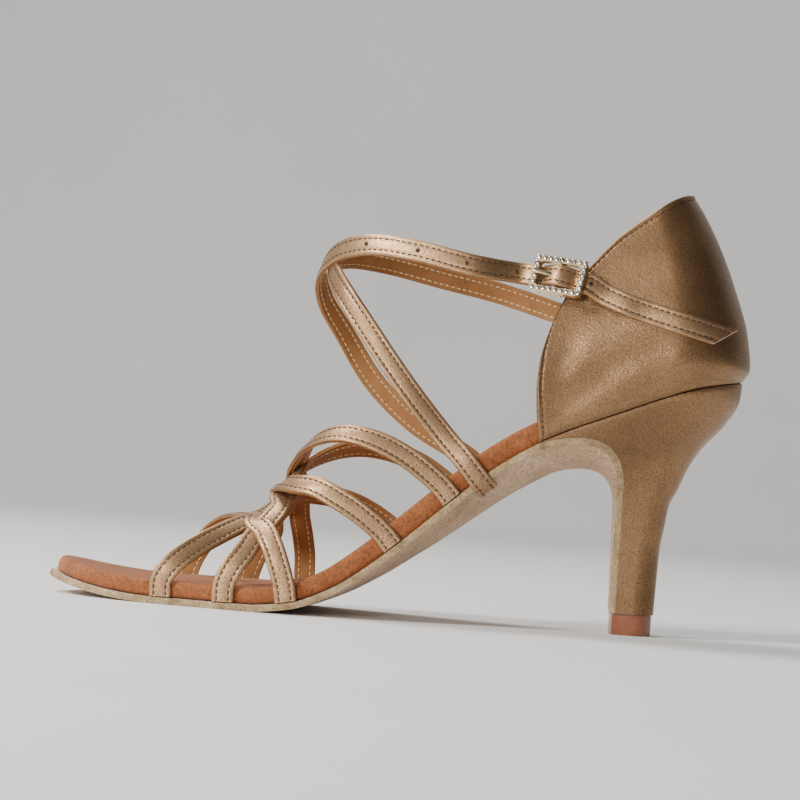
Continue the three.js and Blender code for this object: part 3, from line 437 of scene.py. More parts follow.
def circle(centre, a, b, count, turn=0.0):
    """A ring of points from two half axes."""
    angles = [turn + 2 * pi * k / count for k in range(count)]
    return [centre + a * cos(angle) + b * sin(angle) for angle in angles]


def run_lengths(points):
    """Lengths along a line of points, from its start."""
    lengths = [0.0]
    for a, b in zip(points, points[1:]):
        lengths.append(lengths[-1] + (b - a).length)
    return lengths


def offset_rows(grid, distance):
    """A grid of points moved square to itself."""
    out = []
    for i, row in enumerate(grid):
        line = []
        for j, p in enumerate(row):
            along = grid[min(i + 1, len(grid) - 1)][j] - grid[max(i - 1, 0)][j]
            across = row[min(j + 1, len(row) - 1)] - row[max(j - 1, 0)]
            normal = across.cross(along)
            normal = Vector((0, 0, 1)) if normal.length < 1e-6 else normal.normalized()
            line.append(p + normal * distance)
        out.append(line)
    return out


# Materials

MAP_RANGE = ("From Min", "From Max", "To Min", "To Max")


class Nodes:
    """A small helper to wire a material."""

    def __init__(self, name):
        self.material = bpy.data.materials.new(name)
        self.material.use_nodes = True
        self.tree = self.material.node_tree
        self.tree.nodes.clear()
        self.out = self.add("ShaderNodeOutputMaterial")
        self.surface = self.add("ShaderNodeBsdfPrincipled")
        self.link(self.surface, 0, self.out, 0)
        self.coords = self.add("ShaderNodeTexCoord")

    def add(self, kind, **values):
        node = self.tree.nodes.new(kind)
        for key, value in values.items():
            setattr(node, key, value)
        return node

    def link(self, a, output, b, entry):
        self.tree.links.new(a.outputs[output], b.inputs[entry])

    def noise(self, scale, detail=4.0, rough=0.55):
        node = self.add("ShaderNodeTexNoise")
        node.inputs["Scale"].default_value = scale
        node.inputs["Detail"].default_value = detail
        node.inputs["Roughness"].default_value = rough
        self.link(self.coords, "Object", node, "Vector")
        return node

    def cells(self, scale):
        node = self.add("ShaderNodeTexVoronoi")
        node.inputs["Scale"].default_value = scale
        self.link(self.coords, "Object", node, "Vector")
        return node

    def ramp(self, source, output, stops):
        node = self.add("ShaderNodeValToRGB")
        elements = node.color_ramp.elements
        elements[0].position, elements[0].color = stops[0][0], (*stops[0][1], 1)
        elements[1].position, elements[1].color = stops[-1][0], (*stops[-1][1], 1)
        for position, colour in stops[1:-1]:
            elements.new(position).color = (*colour, 1)
        self.link(source, output, node, 0)
        return node

    def multiply(self, a, b, factor):
        """One colour ramp times another."""
        node = self.add("ShaderNodeMix", data_type="RGBA", blend_type="MULTIPLY")
        node.inputs[0].default_value = factor
        self.link(a, 0, node, 6)
        self.link(b, 0, node, 7)
        return node

    def remap(self, source, output, low, high, to_low, to_high):
        node = self.add("ShaderNodeMapRange")
        for entry, value in zip(MAP_RANGE, (low, high, to_low, to_high)):
            node.inputs[entry].default_value = value
        self.link(source, output, node, "Value")
        return node

    def bump(self, heights):
        """A stack of bumps: (node, output, distance in metres, strength)."""
        previous = None
        for node, output, distance, strength in heights:
            bump = self.add("ShaderNodeBump")
            bump.inputs["Distance"].default_value = distance
            bump.inputs["Strength"].default_value = strength
            self.link(node, output, bump, "Height")
            if previous:
                self.link(previous, 0, bump, "Normal")
            previous = bump
        self.link(previous, 0, self.surface, "Normal")

    def set(self, **values):
        for key, value in values.items():
            self.surface.inputs[key.replace("_", " ")].default_value = value


def metallic_leather(name, low, high, rough, smooth):
    m = Nodes(name)
    tone = m.noise(45, 3)
    flecks = m.noise(2600, 2, 0.7)
    wide = m.ramp(tone, 0, [(0.3, low), (0.7, high)])
    spark = m.ramp(flecks, 0, [(0.36, (0.5, 0.45, 0.4)), (0.5, (1, 1, 1)), (0.66, (1.7, 1.65, 1.5))])
    colour = m.multiply(wide, spark, 0.8)
    m.link(colour, 2, m.surface, "Base Color")
    m.link(m.remap(flecks, 0, 0.3, 0.7, rough, smooth), 0, m.surface, "Roughness")
    m.set(Metallic=0.8, Coat_Weight=0.12, Coat_Roughness=0.35)
    grain = m.cells(1500)
    m.bump([(m.noise(130, 3), 0, 0.0006, 0.25), (grain, 0, 0.00012, 0.35), (flecks, 0, 0.00008, 0.5)])
    return m.material


def lining_leather():
    m = Nodes("lining")
    tone = m.noise(160, 4)
    # The lining's own brown, darkened in part as painted shade for the inside of the shoe
    colour = m.ramp(tone, 0, [(0.3, (0.28, 0.125, 0.039)), (0.7, (0.35, 0.165, 0.056))])
    m.link(colour, 0, m.surface, "Base Color")
    m.set(Roughness=0.68, Specular_IOR_Level=0.35)
    m.bump([(m.cells(1400), 0, 0.0001, 0.3), (m.noise(2200, 2), 0, 0.0001, 0.3)])
    return m.material


def nap(name, tones, scale, patch, sheen, deep=0.00035):
    """Suede and microfibre: brushed patches, fine fibres and a soft sheen."""
    m = Nodes(name)
    patches = m.ramp(m.noise(patch, 5, 0.6), 0, list(zip((0.32, 0.5, 0.7), tones)))
    fibres = m.noise(scale, 5, 0.75)
    speck = m.ramp(fibres, 0, [(0.34, (0.45, 0.42, 0.4)), (0.5, (1, 1, 1)), (0.66, (1.4, 1.4, 1.36))])
    colour = m.multiply(patches, speck, 0.8)
    m.link(colour, 2, m.surface, "Base Color")
    m.set(Roughness=0.95, Specular_IOR_Level=0.15, Sheen_Weight=sheen, Sheen_Roughness=0.5)
    m.bump([(m.noise(220, 4), 0, 0.0006, 0.35), (fibres, 0, deep, 0.7)])
    return m.material


def plain(name, low, high, roughness, metallic=0.0, scale=300, grain=2500, depth=0.00005, **extra):
    m = Nodes(name)
    colour = m.ramp(m.noise(scale, 3), 0, [(0.35, low), (0.65, high)])
    m.link(colour, 0, m.surface, "Base Color")
    m.link(m.remap(m.noise(scale * 2.3, 3), 0, 0.3, 0.7, roughness * 0.85, roughness * 1.2), 0,
           m.surface, "Roughness")
    m.set(Metallic=metallic, **extra)
    m.bump([(m.noise(grain, 2), 0, depth, 0.4)])
    return m.material


BRONZE = metallic_leather("bronze_leather", (0.22, 0.122, 0.057), (0.31, 0.18, 0.088), 0.48, 0.28)
# The straps' bronze is the counter's bronze made lighter: painted light, for the straps catching more light
# than the counter
LIT_STRAP_BRONZE = metallic_leather("strap_leather_painted_light", (0.32, 0.193, 0.1), (0.41, 0.252, 0.133), 0.52, 0.33)
LINING_PAINTED_SHADE = lining_leather()
SUEDE = nap("suede", [(0.43, 0.275, 0.16), (0.56, 0.375, 0.23), (0.67, 0.475, 0.31)], 900, 60, 0.2)
NAP_EDGE = nap("nap_edge", [(0.35, 0.24, 0.13), (0.49, 0.355, 0.2), (0.6, 0.45, 0.27)],
               1300, 200, 0.1, 0.0006)
MICRO = nap("microfibre", [(0.235, 0.08, 0.029), (0.28, 0.098, 0.036), (0.335, 0.125, 0.049)],
            1000, 110, 0.1, 0.0005)
TIP = plain("tip_plastic", (0.25, 0.075, 0.03), (0.31, 0.1, 0.044), 0.22,
            Coat_Weight=0.4, Coat_Roughness=0.12)
THREAD = plain("thread", (0.045, 0.02, 0.009), (0.08, 0.037, 0.017), 0.8, 0.0, 900)
PALE_THREAD = plain("pale_thread", (0.6, 0.42, 0.2), (0.72, 0.54, 0.29), 0.7, 0.0, 900)
GOLD = plain("pale_gold", (0.68, 0.53, 0.32), (0.78, 0.63, 0.41), 0.22, 1.0, 500)
CUT_EDGE = plain("cut_edge", (0.42, 0.29, 0.185), (0.54, 0.39, 0.265), 0.7, 0.0, 700)
STONE = plain("stone", (0.17, 0.13, 0.095), (0.8, 0.74, 0.65), 0.06, 0.75, 700, 4000, 0.00001,
              Coat_Weight=0.8)
# Near-black painted shade, for the gap where a strap's top meets its lining and for the dark discs in the
# punched holes
PAINTED_SHADE = plain("seam_gap_painted_shade", (0.02, 0.012, 0.008), (0.04, 0.022, 0.014), 0.9)
STRAP_LOOK = [LIT_STRAP_BRONZE, LINING_PAINTED_SHADE, CUT_EDGE, PAINTED_SHADE]


# Straps: a folded leather top over a lining, with two rows of stitches

def mirrored(half):
    return half + [(-wide, high) for wide, high in reversed(half[:-1])]


TOP_PROFILE = mirrored([  # share of the half width, height as a share of the thickness
    (-0.93, -0.03), (-0.985, 0.02), (-1.0, 0.14), (-0.985, 0.3), (-0.94, 0.42), (-0.85, 0.48),
    (-0.73, 0.5), (-0.63, 0.485), (-0.54, 0.43), (-0.45, 0.49), (-0.25, 0.525), (0.0, 0.54),
])
LINING_PROFILE = mirrored([
    (0.93, -0.1), (1.0, -0.14), (1.0, -0.38), (0.97, -0.46), (0.9, -0.49), (0.63, -0.5), (0.54, -0.45),
    (0.45, -0.5), (0.0, -0.5),
])


def strap_point(row, wide, high, width=STRAP, thick=STRAP_THICK, slant=0):
    point, tangent, out = row
    across = tangent.cross(out)
    return point + across * (wide * width / 2) + out * (high * thick) - tangent * (wide / 2 * slant)


def leans(rows, slant, reach=9):
    """How far each row leans, from none up to the slanted end."""
    lengths = run_lengths([row[0] for row in rows])
    return [slant * (1 - clamp((lengths[-1] - run) / reach)) for run in lengths]


def strap_loft(rows, width=STRAP, thick=STRAP_THICK, slant=0):
    """A strap along rows of (point, tangent, out). Its last rows lean over to the slanted end."""
    profile = TOP_PROFILE + LINING_PROFILE
    total = len(rows)
    rings = []
    for row, lean in zip(rows, leans(rows, slant)):
        rings.append([strap_point(row, w, h, width, thick, lean) for w, h in profile])
    if slant:
        tangent = rows[-1][1]
        rings[-1] = [p - tangent * 0.55 for p in rings[-1]]
        end = [(0.97 * w, 0.7 * h - 0.12) for w, h in profile]
        rings.append([strap_point(rows[-1], w, h, width, thick, slant) for w, h in end])
    points, faces = loft(rings)
    size, top = len(profile), len(TOP_PROFILE)
    slots = []
    # Slots: 0 the top, 1 the lining, 2 the cut ends, 3 painted shade in the gap where the top meets the
    # lining
    for _ in range(total - 1):
        slots += [0 if k < top - 1 else (3 if k in (top - 1, size - 1) else 1) for k in range(size)]
    slots += [2] * (size + 2 if slant else 2)
    return points, faces, slots


def dashes(rows, wide, high, slant=0, stop=0.0):
    """Stitches along a strap: small rounded bars sunk half way in. They end short of a slanted end."""
    line = [strap_point(row, wide, high, slant=lean) for row, lean in zip(rows, leans(rows, slant))]
    outs = [row[2] for row in rows]
    return bars(line, outs, *STITCH, stop)


def bars(line, outs, length, pitch, radius, stop=0.0):
    """Small rounded bars along a line, with their ends sunk in."""
    lengths = run_lengths(line)
    parts = []
    place = pitch / 2
    i = 0
    while place < lengths[-1] - stop - pitch / 2:
        while i < len(lengths) - 2 and lengths[i + 1] < place:
            i += 1
        t = (place - lengths[i]) / max(lengths[i + 1] - lengths[i], 1e-6)
        centre = line[i].lerp(line[i + 1], t)
        tangent = (line[i + 1] - line[i]).normalized()
        out = outs[i].lerp(outs[i + 1], t)
        out = (out - tangent * out.dot(tangent)).normalized()
        side = tangent.cross(out)
        rings = []
        for along, size in ((-0.5, 0.35), (-0.36, 0.95), (0, 1.1), (0.36, 0.95), (0.5, 0.35)):
            sink = -0.4 * radius if abs(along) > 0.4 else 0
            middle = centre + tangent * (along * length) + out * sink
            rings.append(circle(middle, side * (radius * size), out * (radius * size), 6))
        parts.append(loft(rings))
        place += pitch
    return merge(parts)


def vamp_rows(strap, spacing):
    outer, inner, layer = strap
    count, base = 14, 0.7 * INSOLE

    def root(at):
        return plain_half(at) + 1.3 * CLEAR + STRAP_THICK / 2

    def foot(at, side, height):
        return sole_place(at, swing(at) + side * root(at), height), Vector((side, 0, 0))

    rows = [foot(outer, 1, 0.02), foot(outer, 1, 0.2 * INSOLE)]
    for k in range(count + 1):
        share = k / count
        turn = pi * share
        at = mix(outer, inner, mix(share, (1 - cos(turn)) / 2, 0.65))
        lift = layer * (STRAP_THICK - FUSE) * step(share, 0, 0.2) * step(1 - share, 0, 0.2)
        across = copysign(abs(cos(turn)) ** ROUNDNESS, cos(turn))
        crown = INSTEP * sample(CROWN, 1, at) - base
        up = base + abs(sin(turn)) ** ROUNDNESS * (crown + lift)
        point = sole_place(at, swing(at) + across * (root(at) + lift), up)
        rows.append((point, (point - sole_place(at, swing(at), base)).normalized()))
    rows += [foot(inner, -1, 0.2 * INSOLE), foot(inner, -1, 0.02)]
    return spline(rows, spacing)


def loop_row(row):
    ahead, up, side = row
    y = TURN_Y - ahead * LOOP_REACH
    point = Vector((side * LOOP_HALF, y, HEEL_HEIGHT + up * COUNTER_RISE))
    core = Vector((0, max(y, TURN_Y - 0.66 * LOOP_REACH), point.z))
    out = (point - core).normalized()
    out.z = LOOP_TILT
    return point, out.normalized()


def slot_rows(side):
    at = SLOT_AT
    slope = seat_slope(at)
    edge = half_width(at, edge_width(at))
    mid = STRAP_THICK / 2 + CLEAR

    def row(x, height, out_x, out_up):
        out = Vector((side * out_x, -out_up * sin(slope), out_up * cos(slope)))
        return sole_place(at, swing(at) + side * x, height), out.normalized()

    def drop(x):
        return bottom_drop(at, swing(at) + x)

    def under(x):
        return -CLEAR - OUTSOLE - drop(x) - mid

    slot = edge - SLOT_IN
    leave = slot - 0.5 * SLOT_IN
    turn, flat = edge - 0.15 * SLOT_IN, edge - 0.53 * SLOT_IN
    return [
        row(edge + mid, INSOLE, 1, 0), row(edge + mid, 0.2 * INSOLE, 1, 0),
        row(edge + 0.6 * mid, -0.75 * OUTSOLE, 1, -0.35), row(turn, under(turn) - 0.3 * CLEAR, 0.6, -1),
        row(flat, under(flat), 0.1, -1), row(slot, -CLEAR - OUTSOLE / 2 - drop(slot), -0.9, -1),
        row(leave, mid - drop(leave), -0.2, -1), row(0.5 * leave, mid - drop(0.5 * leave), 0, -1),
        row(0, mid - drop(0), 0, -1),
    ]


def buckle_frame():
    z = HEEL_HEIGHT + BUCKLE_RISE * COUNTER_RISE
    point, out = counter_face(1, collar_y(z) + TAB_SETBACK, z)
    out = (out + Vector((0, -BUCKLE_TURN, BUCKLE_TURN))).normalized()
    along = Vector((0, cos(BUCKLE_DROP), -sin(BUCKLE_DROP)))
    along = (along - out * along.dot(out)).normalized()
    over = out.cross(along).normalized()
    if over.z < 0:
        over.negate()
    lift = 4 * CLEAR + TAB_THICK + PIN_RADIUS - BAR_DEEP + 0.3 * BUCKLE_TURN * BUCKLE_LENGTH
    centre = point - along * (0.54 * BUCKLE_LENGTH) + out * lift
    return point, centre, along, over, out


BAR_DEEP = -(BUCKLE_DEPTH / 2 + PIN_SINK)
SEAT, CENTRE, ALONG, OVER, OUT = buckle_frame()


def buckle_point(a, b, c):
    return CENTRE + ALONG * a + OVER * b + OUT * c


def buckle_rows():
    under = -(BUCKLE_DEPTH / 2 + CLEAR + STRAP_THICK / 2)
    hump = BAR_DEEP + PIN_RADIUS + 3 * CLEAR + TAB_THICK + STRAP_THICK / 2
    table = [  # along, in steps from the centre to an end bar, and high
        (-1.74, under - 1.3 * CLEAR), (-1.22, under - 0.8 * CLEAR), (-0.85, under - 0.7 * CLEAR),
        (-0.4, mix(under, hump, 0.62)), (0, hump), (0.4, mix(under, hump, 0.62)),
        (0.85, under - 0.7 * CLEAR), (1.22, under - 0.7 * CLEAR),
    ]
    return [(buckle_point(a * BAR_AT, 0, c), OUT.copy()) for a, c in table]


def tail_rows():
    rows = []
    for share in (0.16, 0.3, 0.44, 0.58, 0.72, 0.85, 1):
        reach = share * TAIL - 0.14 * BUCKLE_LENGTH
        low = TAIL_LOW * step(share, 0, 0.3)
        y, z = SEAT.y + reach * cos(TAIL_DROP), SEAT.z - reach * sin(TAIL_DROP) - low
        point, out = counter_face(1, y, z)
        on_tab = 1 - step(reach, TAB_LENGTH, TAB_LENGTH + STRAP)
        rows.append((point + out * (1.5 * CLEAR + STRAP_THICK / 2 + on_tab * (TAB_THICK + CLEAR)), out))
    return rows


def join_rows():
    rows = []
    for share in (0.06, 0.4, 0.72, 1):
        z = HEEL_HEIGHT + (INNER_RUN[-1][1] - 0.1 - 0.06 * share) * COUNTER_RISE
        point, out = counter_face(-1, collar_y(max(z, SHOULDER_Z)) + share * JOIN, z)
        rows.append((point + out * (1.3 * CLEAR + STRAP_THICK / 2), out))
    return rows


def ankle_rows(spacing):
    rows = list(reversed(join_rows())) + [loop_row(r) for r in reversed(INNER_RUN)]
    rows += slot_rows(1) + list(reversed(slot_rows(-1)[:-1]))
    rows += [loop_row(r) for r in reversed(OUTER_RUN)] + buckle_rows() + tail_rows()
    return spline(rows, spacing)


def strap_pieces(name, node, straps, slant=0, stop=0.0):
    """The leather of some straps, and the stitches on both its faces."""
    parts, marks = [], []
    for rows in straps:
        points, faces, slots = strap_loft(rows, slant=slant)
        parts.append((points, faces))
        marks += slots
    piece(name + "_leather", *merge(parts), STRAP_LOOK, marks, node=node, sharp=40)
    for label, high, thread in zip(("_stitches", "_lining_stitches"), STITCH_FACES, (THREAD, PALE_THREAD)):
        lines = [dashes(rows, wide, high, slant, stop) for rows in straps for wide in (-SEAM, SEAM)]
        piece(name + label, *merge(lines), [thread])


# Sole, heel and counter

def stations(count, first=0.0, last=1.0):
    low, high = acos(1 - 2 * first), acos(1 - 2 * last)
    return [(1 - cos(mix(low, high, k / count))) / 2 for k in range(count + 1)]


def build_insole():
    wrap = [(0.02, 0.1), (0, 0.25), (-0.015, 0.45), (0, 0.65), (0.05, 0.82), (0.14, 0.94), (0.26, 1.0)]
    across = [mix(-1, 1, k / 24) for k in range(25)]
    rings = []
    for section in stations(150):
        thick = INSOLE * sample(BOTTOM, 2, section)
        under = [sole_point(section, -SEAM_INSET, share, 0) for share in across]
        right = [sole_point(section, -i * thick, 1, r * thick) for i, r in wrap]
        left = [sole_point(section, -i * thick, -1, r * thick) for i, r in reversed(wrap)]
        crown = [sole_point(section, -0.42 * thick, share, 1.02 * thick, 0.7) for share in across[-2:0:-1]]
        rings.append(under + right + crown + left)
    board = loft(rings, caps=False)
    obj = piece("padded_insole", *board, [MICRO], node="insole", slot="microfibre", flip=True)


def ripple(s, side):
    """The soft sole edge wavers a little, as the photo's does."""
    return 0.28 * sin(s * 0.31 + side) + 0.16 * sin(s * 0.83 + 2.1 * side)


def build_outsole():
    across = [mix(-1, 1, k / 16) for k in range(17)]
    upper, lower = [], []
    for section in stations(110, 0, TURN_AT):
        fade = step(section, 0.34, 0.4)
        width = [edge_width(section) + 0.5 * fade * ripple(section * LENGTH, k) for k in (0, 1)]
        for grid, height, drop in ((upper, -CLEAR, 0.1), (lower, -CLEAR - OUTSOLE, 0)):
            row = [sole_point(section, -SEAM_INSET, share, height) for share in across]
            ends = [sole_point(section, w, sign, height - drop) for w, sign in zip(width, (-1, 1))]
            grid.append([ends[0]] + row + [ends[1]])
    edge = breast_line(0, CLEAR, BREAST_RADIUS / 2)
    middle = breast_line(bottom_drop(TURN_AT, swing(TURN_AT)), 0.6 * OUTSOLE, BREAST_RADIUS / 3)
    inner = half_width(TURN_AT, -SEAM_INSET) / half_width(TURN_AT, RIM)
    flap = []
    for e, m in zip(edge[1:], middle[1:]):
        half = heel_half(e.y, e.z)

        def point(share, dome):
            p = m.lerp(e, dome)
            return Vector((swing(place_of(e.y)) + share * half, p.y, p.z))

        row = [point(share * inner, share * share) for share in across]
        flap.append([point(-1, 1)] + row + [point(1, 1)])
    bend = offset_rows(upper[-2:] + flap, -OUTSOLE)[2:]
    upper += flap
    lower += bend
    rings, rims = [], [[], []]
    for top, under in zip(upper, lower):
        bulge = []
        for rim, end, beside in ((0, 0, 1), (1, -1, -2)):
            out = (top[end] - top[beside]).normalized()
            bulge.append(top[end].lerp(under[end], 0.5) + out * 0.22)
            rims[rim].append((top[end], under[end], out))
        rings.append(top + [bulge[1]] + list(reversed(under)) + [bulge[0]])
    points, faces = loft(rings)
    size, n = len(rings[0]), len(upper[0])
    slots = []
    for _ in range(len(rings) - 1):
        slots += [1 if k in (n - 1, n, size - 2, size - 1) else 0 for k in range(size)]
    slots += [0, 1]
    piece("suede_sole", points, faces, [SUEDE, NAP_EDGE], slots, node="outsole", slot="suede",
          flip=True, sharp=50)
    build_fuzz(rims)


def build_fuzz(rims):
    """Short loose fibres on the raw edge of the suede, each one thin triangle."""
    points, faces = [], []
    for rim in rims:
        for (top, under, out), (top2, under2, _) in zip(rim, rim[1:]):
            for _ in range(round((top2 - top).length * FIBRES)):
                a, b = random.random(), random.random()
                root = top.lerp(top2, a).lerp(under.lerp(under2, a), b)
                root += out * (0.1 + 0.1 * sin(pi * b))
                sway = Vector([random.uniform(-1, 1) for _ in range(3)])
                tip = root + (out + 0.8 * sway).normalized() * random.uniform(0.25, 0.75)
                root.z, tip.z = max(root.z, FIBRE_FLOOR), max(tip.z, FIBRE_FLOOR)
                side = out.cross(sway).normalized() * 0.05
                base = len(points)
                points += [root - side, root + side, tip]
                faces.append((base, base + 1, base + 2))
    piece("edge_fibres", points, faces, [NAP_EDGE], smooth=False, slot="suede")


def coons(bottom, top, back, front, rows, columns):
    """A grid of side points between four edges, closer together towards the back."""
    shares = [1 - cos(pi / 2 * j / columns) for j in range(columns + 1)]
    return [[patch(bottom, top, back, front, share, i / rows) for share in shares] for i in range(rows + 1)]


def line_at(points, share):
    """A point at a share of a list of side points, by their number."""
    place = clamp(share) * (len(points) - 1)
    i = min(int(place), len(points) - 2)
    return points[i].lerp(points[i + 1], place - i)


def build_heel():
    breast = [Vector((p.y, p.z)) for p in breast_line(0, CLEAR, BREAST_RADIUS / 2)]
    breast.reverse()
    front_points = [p + Vector((TOUCH * step(80 - p.y, 0, 20), TOUCH)) for p in breast]
    tip_end = breast[-1] + Vector((1.0, CLEAR + 0.25))
    front_points[-1] = tip_end

    def bottom(f):
        return Vector((mix(heel_back_y(TIP_HEIGHT), front_points[0].x, f), TIP_HEIGHT))

    def top(f):
        y = mix(SEAT_BACK, tip_end.x, f)
        return Vector((y, seat_height(place_of(y)) - CLEAR))

    def back(u):
        z = mix(TIP_HEIGHT, seat_height(place_of(SEAT_BACK)) - CLEAR, u)
        return Vector((heel_back_y(z), z))

    def front(u):
        return line_at(front_points, u)

    front_points[0] = Vector((front_points[0].x, TIP_HEIGHT))
    side = coons(bottom, top, back, front, 70, 30)
    rings = []
    for line in side:
        outer = []
        for p in line:
            top_gap = seat_height(place_of(p.x)) - CLEAR - p.y
            half = heel_flank(p.x, p.y) - 0.45 * (1 - step(top_gap, 0, 1.2))
            outer.append(Vector((swing(place_of(p.x)) + half, p.x, p.y)))
        inner = [Vector((2 * swing(place_of(q.y)) - q.x, q.y, q.z)) for q in outer[1:]]
        rings.append(list(reversed(outer)) + inner)
    # A neck up to the counter keeps light out of the seam
    neck = []
    for q in rings[-1]:
        middle = swing(place_of(q.y))
        inset = 1.1 * step(q.y, SEAT_BACK - 12, SEAT_BACK)
        neck.append(Vector((mix(middle, q.x, 0.96), q.y - inset, q.z + CLEAR)))
    rings.append(neck)
    piece("covered_heel", *loft(rings), [BRONZE], node="heel", flip=True, sharp=50)


def build_tip():
    front = SEAT_BACK - BREAST_SETBACK - TIP_AHEAD
    back = heel_back_y(TIP_HEIGHT) - TIP_INSET
    deep = (HEEL_ROUND + RIM) * sample(TAPER, 1, (HEEL_HEIGHT - TIP_HEIGHT) / HEEL_HEIGHT)
    top = TIP_HEIGHT - CLEAR
    rings = []
    # Height and inset of each ring; the last two are a thin neck up to the heel, which keeps light out
    for z, inset in ((0.0, 0.3), (0.1, 0.1), (0.3, 0), (top, 0), (top, 0.5), (TIP_HEIGHT, 0.5)):
        outer, inner = [], []
        for k in range(25):
            y = mix(front + inset, back - inset, sin(pi / 2 * k / 24))
            half = (heel_half(y, TIP_HEIGHT) - TIP_INSET - inset) * round_end((back - y) / deep)
            outer.append(Vector((swing(place_of(y)) + half, y, z)))
            if k < 24:
                inner.insert(0, Vector((swing(place_of(y)) - half, y, z)))
        corner = outer[0]
        middle = swing(place_of(corner.y))
        for k in range(1, 8):
            turn = mix(1, -1, k / 8)
            bow = TIP_BOW * (1 - turn * turn)
            inner.append(Vector((middle - turn * (corner.x - middle), corner.y - bow, z)))
        rings.append(outer + inner)
    piece("plastic_tip", *loft(rings), [TIP], node="heel_tip", slot="tip_plastic", flip=True, sharp=35)


CREASES = [  # depth in mm, width in mm, path as (forward, up) shares of the counter
    (0.5, 3.6, [(1.0, 0.02), (0.8, 0.1), (0.55, 0.15), (0.3, 0.14), (0.0, 0.1)]),
    (-0.6, 4.6, [(0.9, 0.16), (0.75, 0.25), (0.55, 0.3), (0.3, 0.28), (0.0, 0.24)]),
    (-0.16, 4.0, [(0.93, 0.25), (0.9, 0.4), (0.85, 0.55)]),
    (0.12, 4.5, [(0.8, 0.4), (0.72, 0.55), (0.62, 0.68)]),
    (-0.1, 3.0, [(0.7, 0.86), (0.45, 0.84), (0.2, 0.86)]),
]


def crease_height(side, forward, up):
    """Soft ridges and troughs placed on the outer face, a little different on each side."""
    place = Vector((COUNTER_RUN * forward, COUNTER_HIGH * up))
    lift = 0.8 if side < 0 else 0
    total = 0.0
    for depth, width, path in CREASES:
        points = [Vector((COUNTER_RUN * f, COUNTER_HIGH * u + lift)) for f, u in path]
        nearest = 1e9
        for a, b in zip(points, points[1:]):
            t = clamp((place - a).dot(b - a) / (b - a).length_squared)
            nearest = min(nearest, (place - a.lerp(b, t)).length)
        total += depth * exp(-((nearest / width) ** 2))
    return total * step(forward, 0, 0.12)


def edge_height(distance):
    """A thin bead along the counter's edge and the groove that its stitches lie in."""
    bead = 0.2 * (1 - step(distance, 0.45, 0.8))
    return bead - 0.13 * exp(-(((distance - EDGE_SEAM) / 0.28) ** 2))


def build_counter():
    ups = [0.95 * i / 52 for i in range(53)] + [0.958, 0.965, 0.972, 0.978, 0.984, 0.989, 0.994, 1.0]
    fwds = [0.965 * (1 - cos(pi / 2 * j / 54)) for j in range(55)]
    fwds += [0.972, 0.978, 0.984, 0.989, 0.993, 0.997, 1.0]
    shares = [(-1, f) for f in reversed(fwds[1:])] + [(1, f) for f in fwds]
    plain = [[counter_point(side if f else 0, f, up) for side, f in shares] for up in ups]
    rows, last = len(ups) - 1, len(shares) - 1
    normals = [[b - a for a, b in zip(line, moved)] for line, moved in zip(plain, offset_rows(plain, 1))]
    outer = []
    for i, up in enumerate(ups):
        line = []
        for j, (side, f) in enumerate(shares):
            column = (top_line(f) - lower_edge(f)).length
            run = (front_edge(up) - back_edge(up)).length
            distance = min((1 - up) * column, (1 - f) * run)
            ease = step(distance, 1.5, 6) * step(up, 0, 0.06)
            rolled_in = 0.5 * (1 - step(up * column, 0, 1.4))
            height = edge_height(distance) + ease * crease_height(side, f, up) - rolled_in
            line.append(plain[i][j] - normals[i][j] * height)
        outer.append(line)
    inner = offset_rows(plain, WALL)
    # The edges are folded over and round
    rings = []
    for j in range(last + 1):
        ring = [outer[i][j] for i in range(rows + 1)]
        top_out, top_in = outer[rows][j], inner[rows][j]
        up = (plain[rows][j] - plain[rows - 1][j]).normalized()
        for t, h in ((0.12, 0.4), (0.3, 0.55), (0.6, 0.5), (0.88, 0.25)):
            ring.append(top_out.lerp(top_in, t) + up * h)
        ring += [inner[i][j] for i in range(rows, -1, -1)]
        rings.append(ring)
    # The two front edges are rounded the same way
    count = len(rings[0])
    ends = []
    for end, beside in ((0, 1), (last, last - 1)):
        extra = []
        for k in range(count):
            ahead = (rings[end][k] - rings[beside][k]).normalized()
            centre = rings[end][k].lerp(rings[end][count - 1 - k], 0.5)
            extra.append(rings[end][k].lerp(centre, 0.5) + ahead * 0.5)
        ends.append(extra)
    rings = [ends[0], *rings, ends[1]]
    points, faces = loft(rings)
    slots = []
    for _ in range(len(rings) - 1):
        slots += [0 if k < rows + 4 else 1 for k in range(count)]
    slots += [0, 0]
    piece("counter_leather", points, faces, [BRONZE, LINING_PAINTED_SHADE], slots, node="counter", flip=True, sharp=60)

    # Stitches beside the top line and the front edges
    stitches = []
    for side in (1, -1):
        for along in ("top", "front"):
            line, outs = [], []
            for k in range(121):
                share = k / 120
                if along == "top":
                    f = 0.02 + 0.955 * share
                    up = 1 - EDGE_SEAM / (top_line(f) - lower_edge(f)).length
                else:
                    up = 0.03 + 0.93 * share
                    f = 1 - EDGE_SEAM / (front_edge(up) - back_edge(up)).length
                p = counter_point(side, f, up)
                out = counter_face(side, p.y, p.z)[1] if f > 0.04 else Vector((0, 1, 0))
                line.append(p - out * 0.06)
                outs.append(out)
            stitches.append(bars(line, outs, *COUNTER_STITCH))
    piece("counter_stitches", *merge(stitches), [THREAD])


# Buckle

def rounded_outline(length, width, radius, per_corner=6):
    outline = []
    for sx, sy, start in ((1, -1, -90), (1, 1, 0), (-1, 1, 90), (-1, -1, 180)):
        for k in range(per_corner + 1):
            angle = radians(start + 90 * k / per_corner)
            outline.append((sx * (length / 2 - radius) + radius * cos(angle),
                            sy * (width / 2 - radius) + radius * sin(angle)))
    return outline


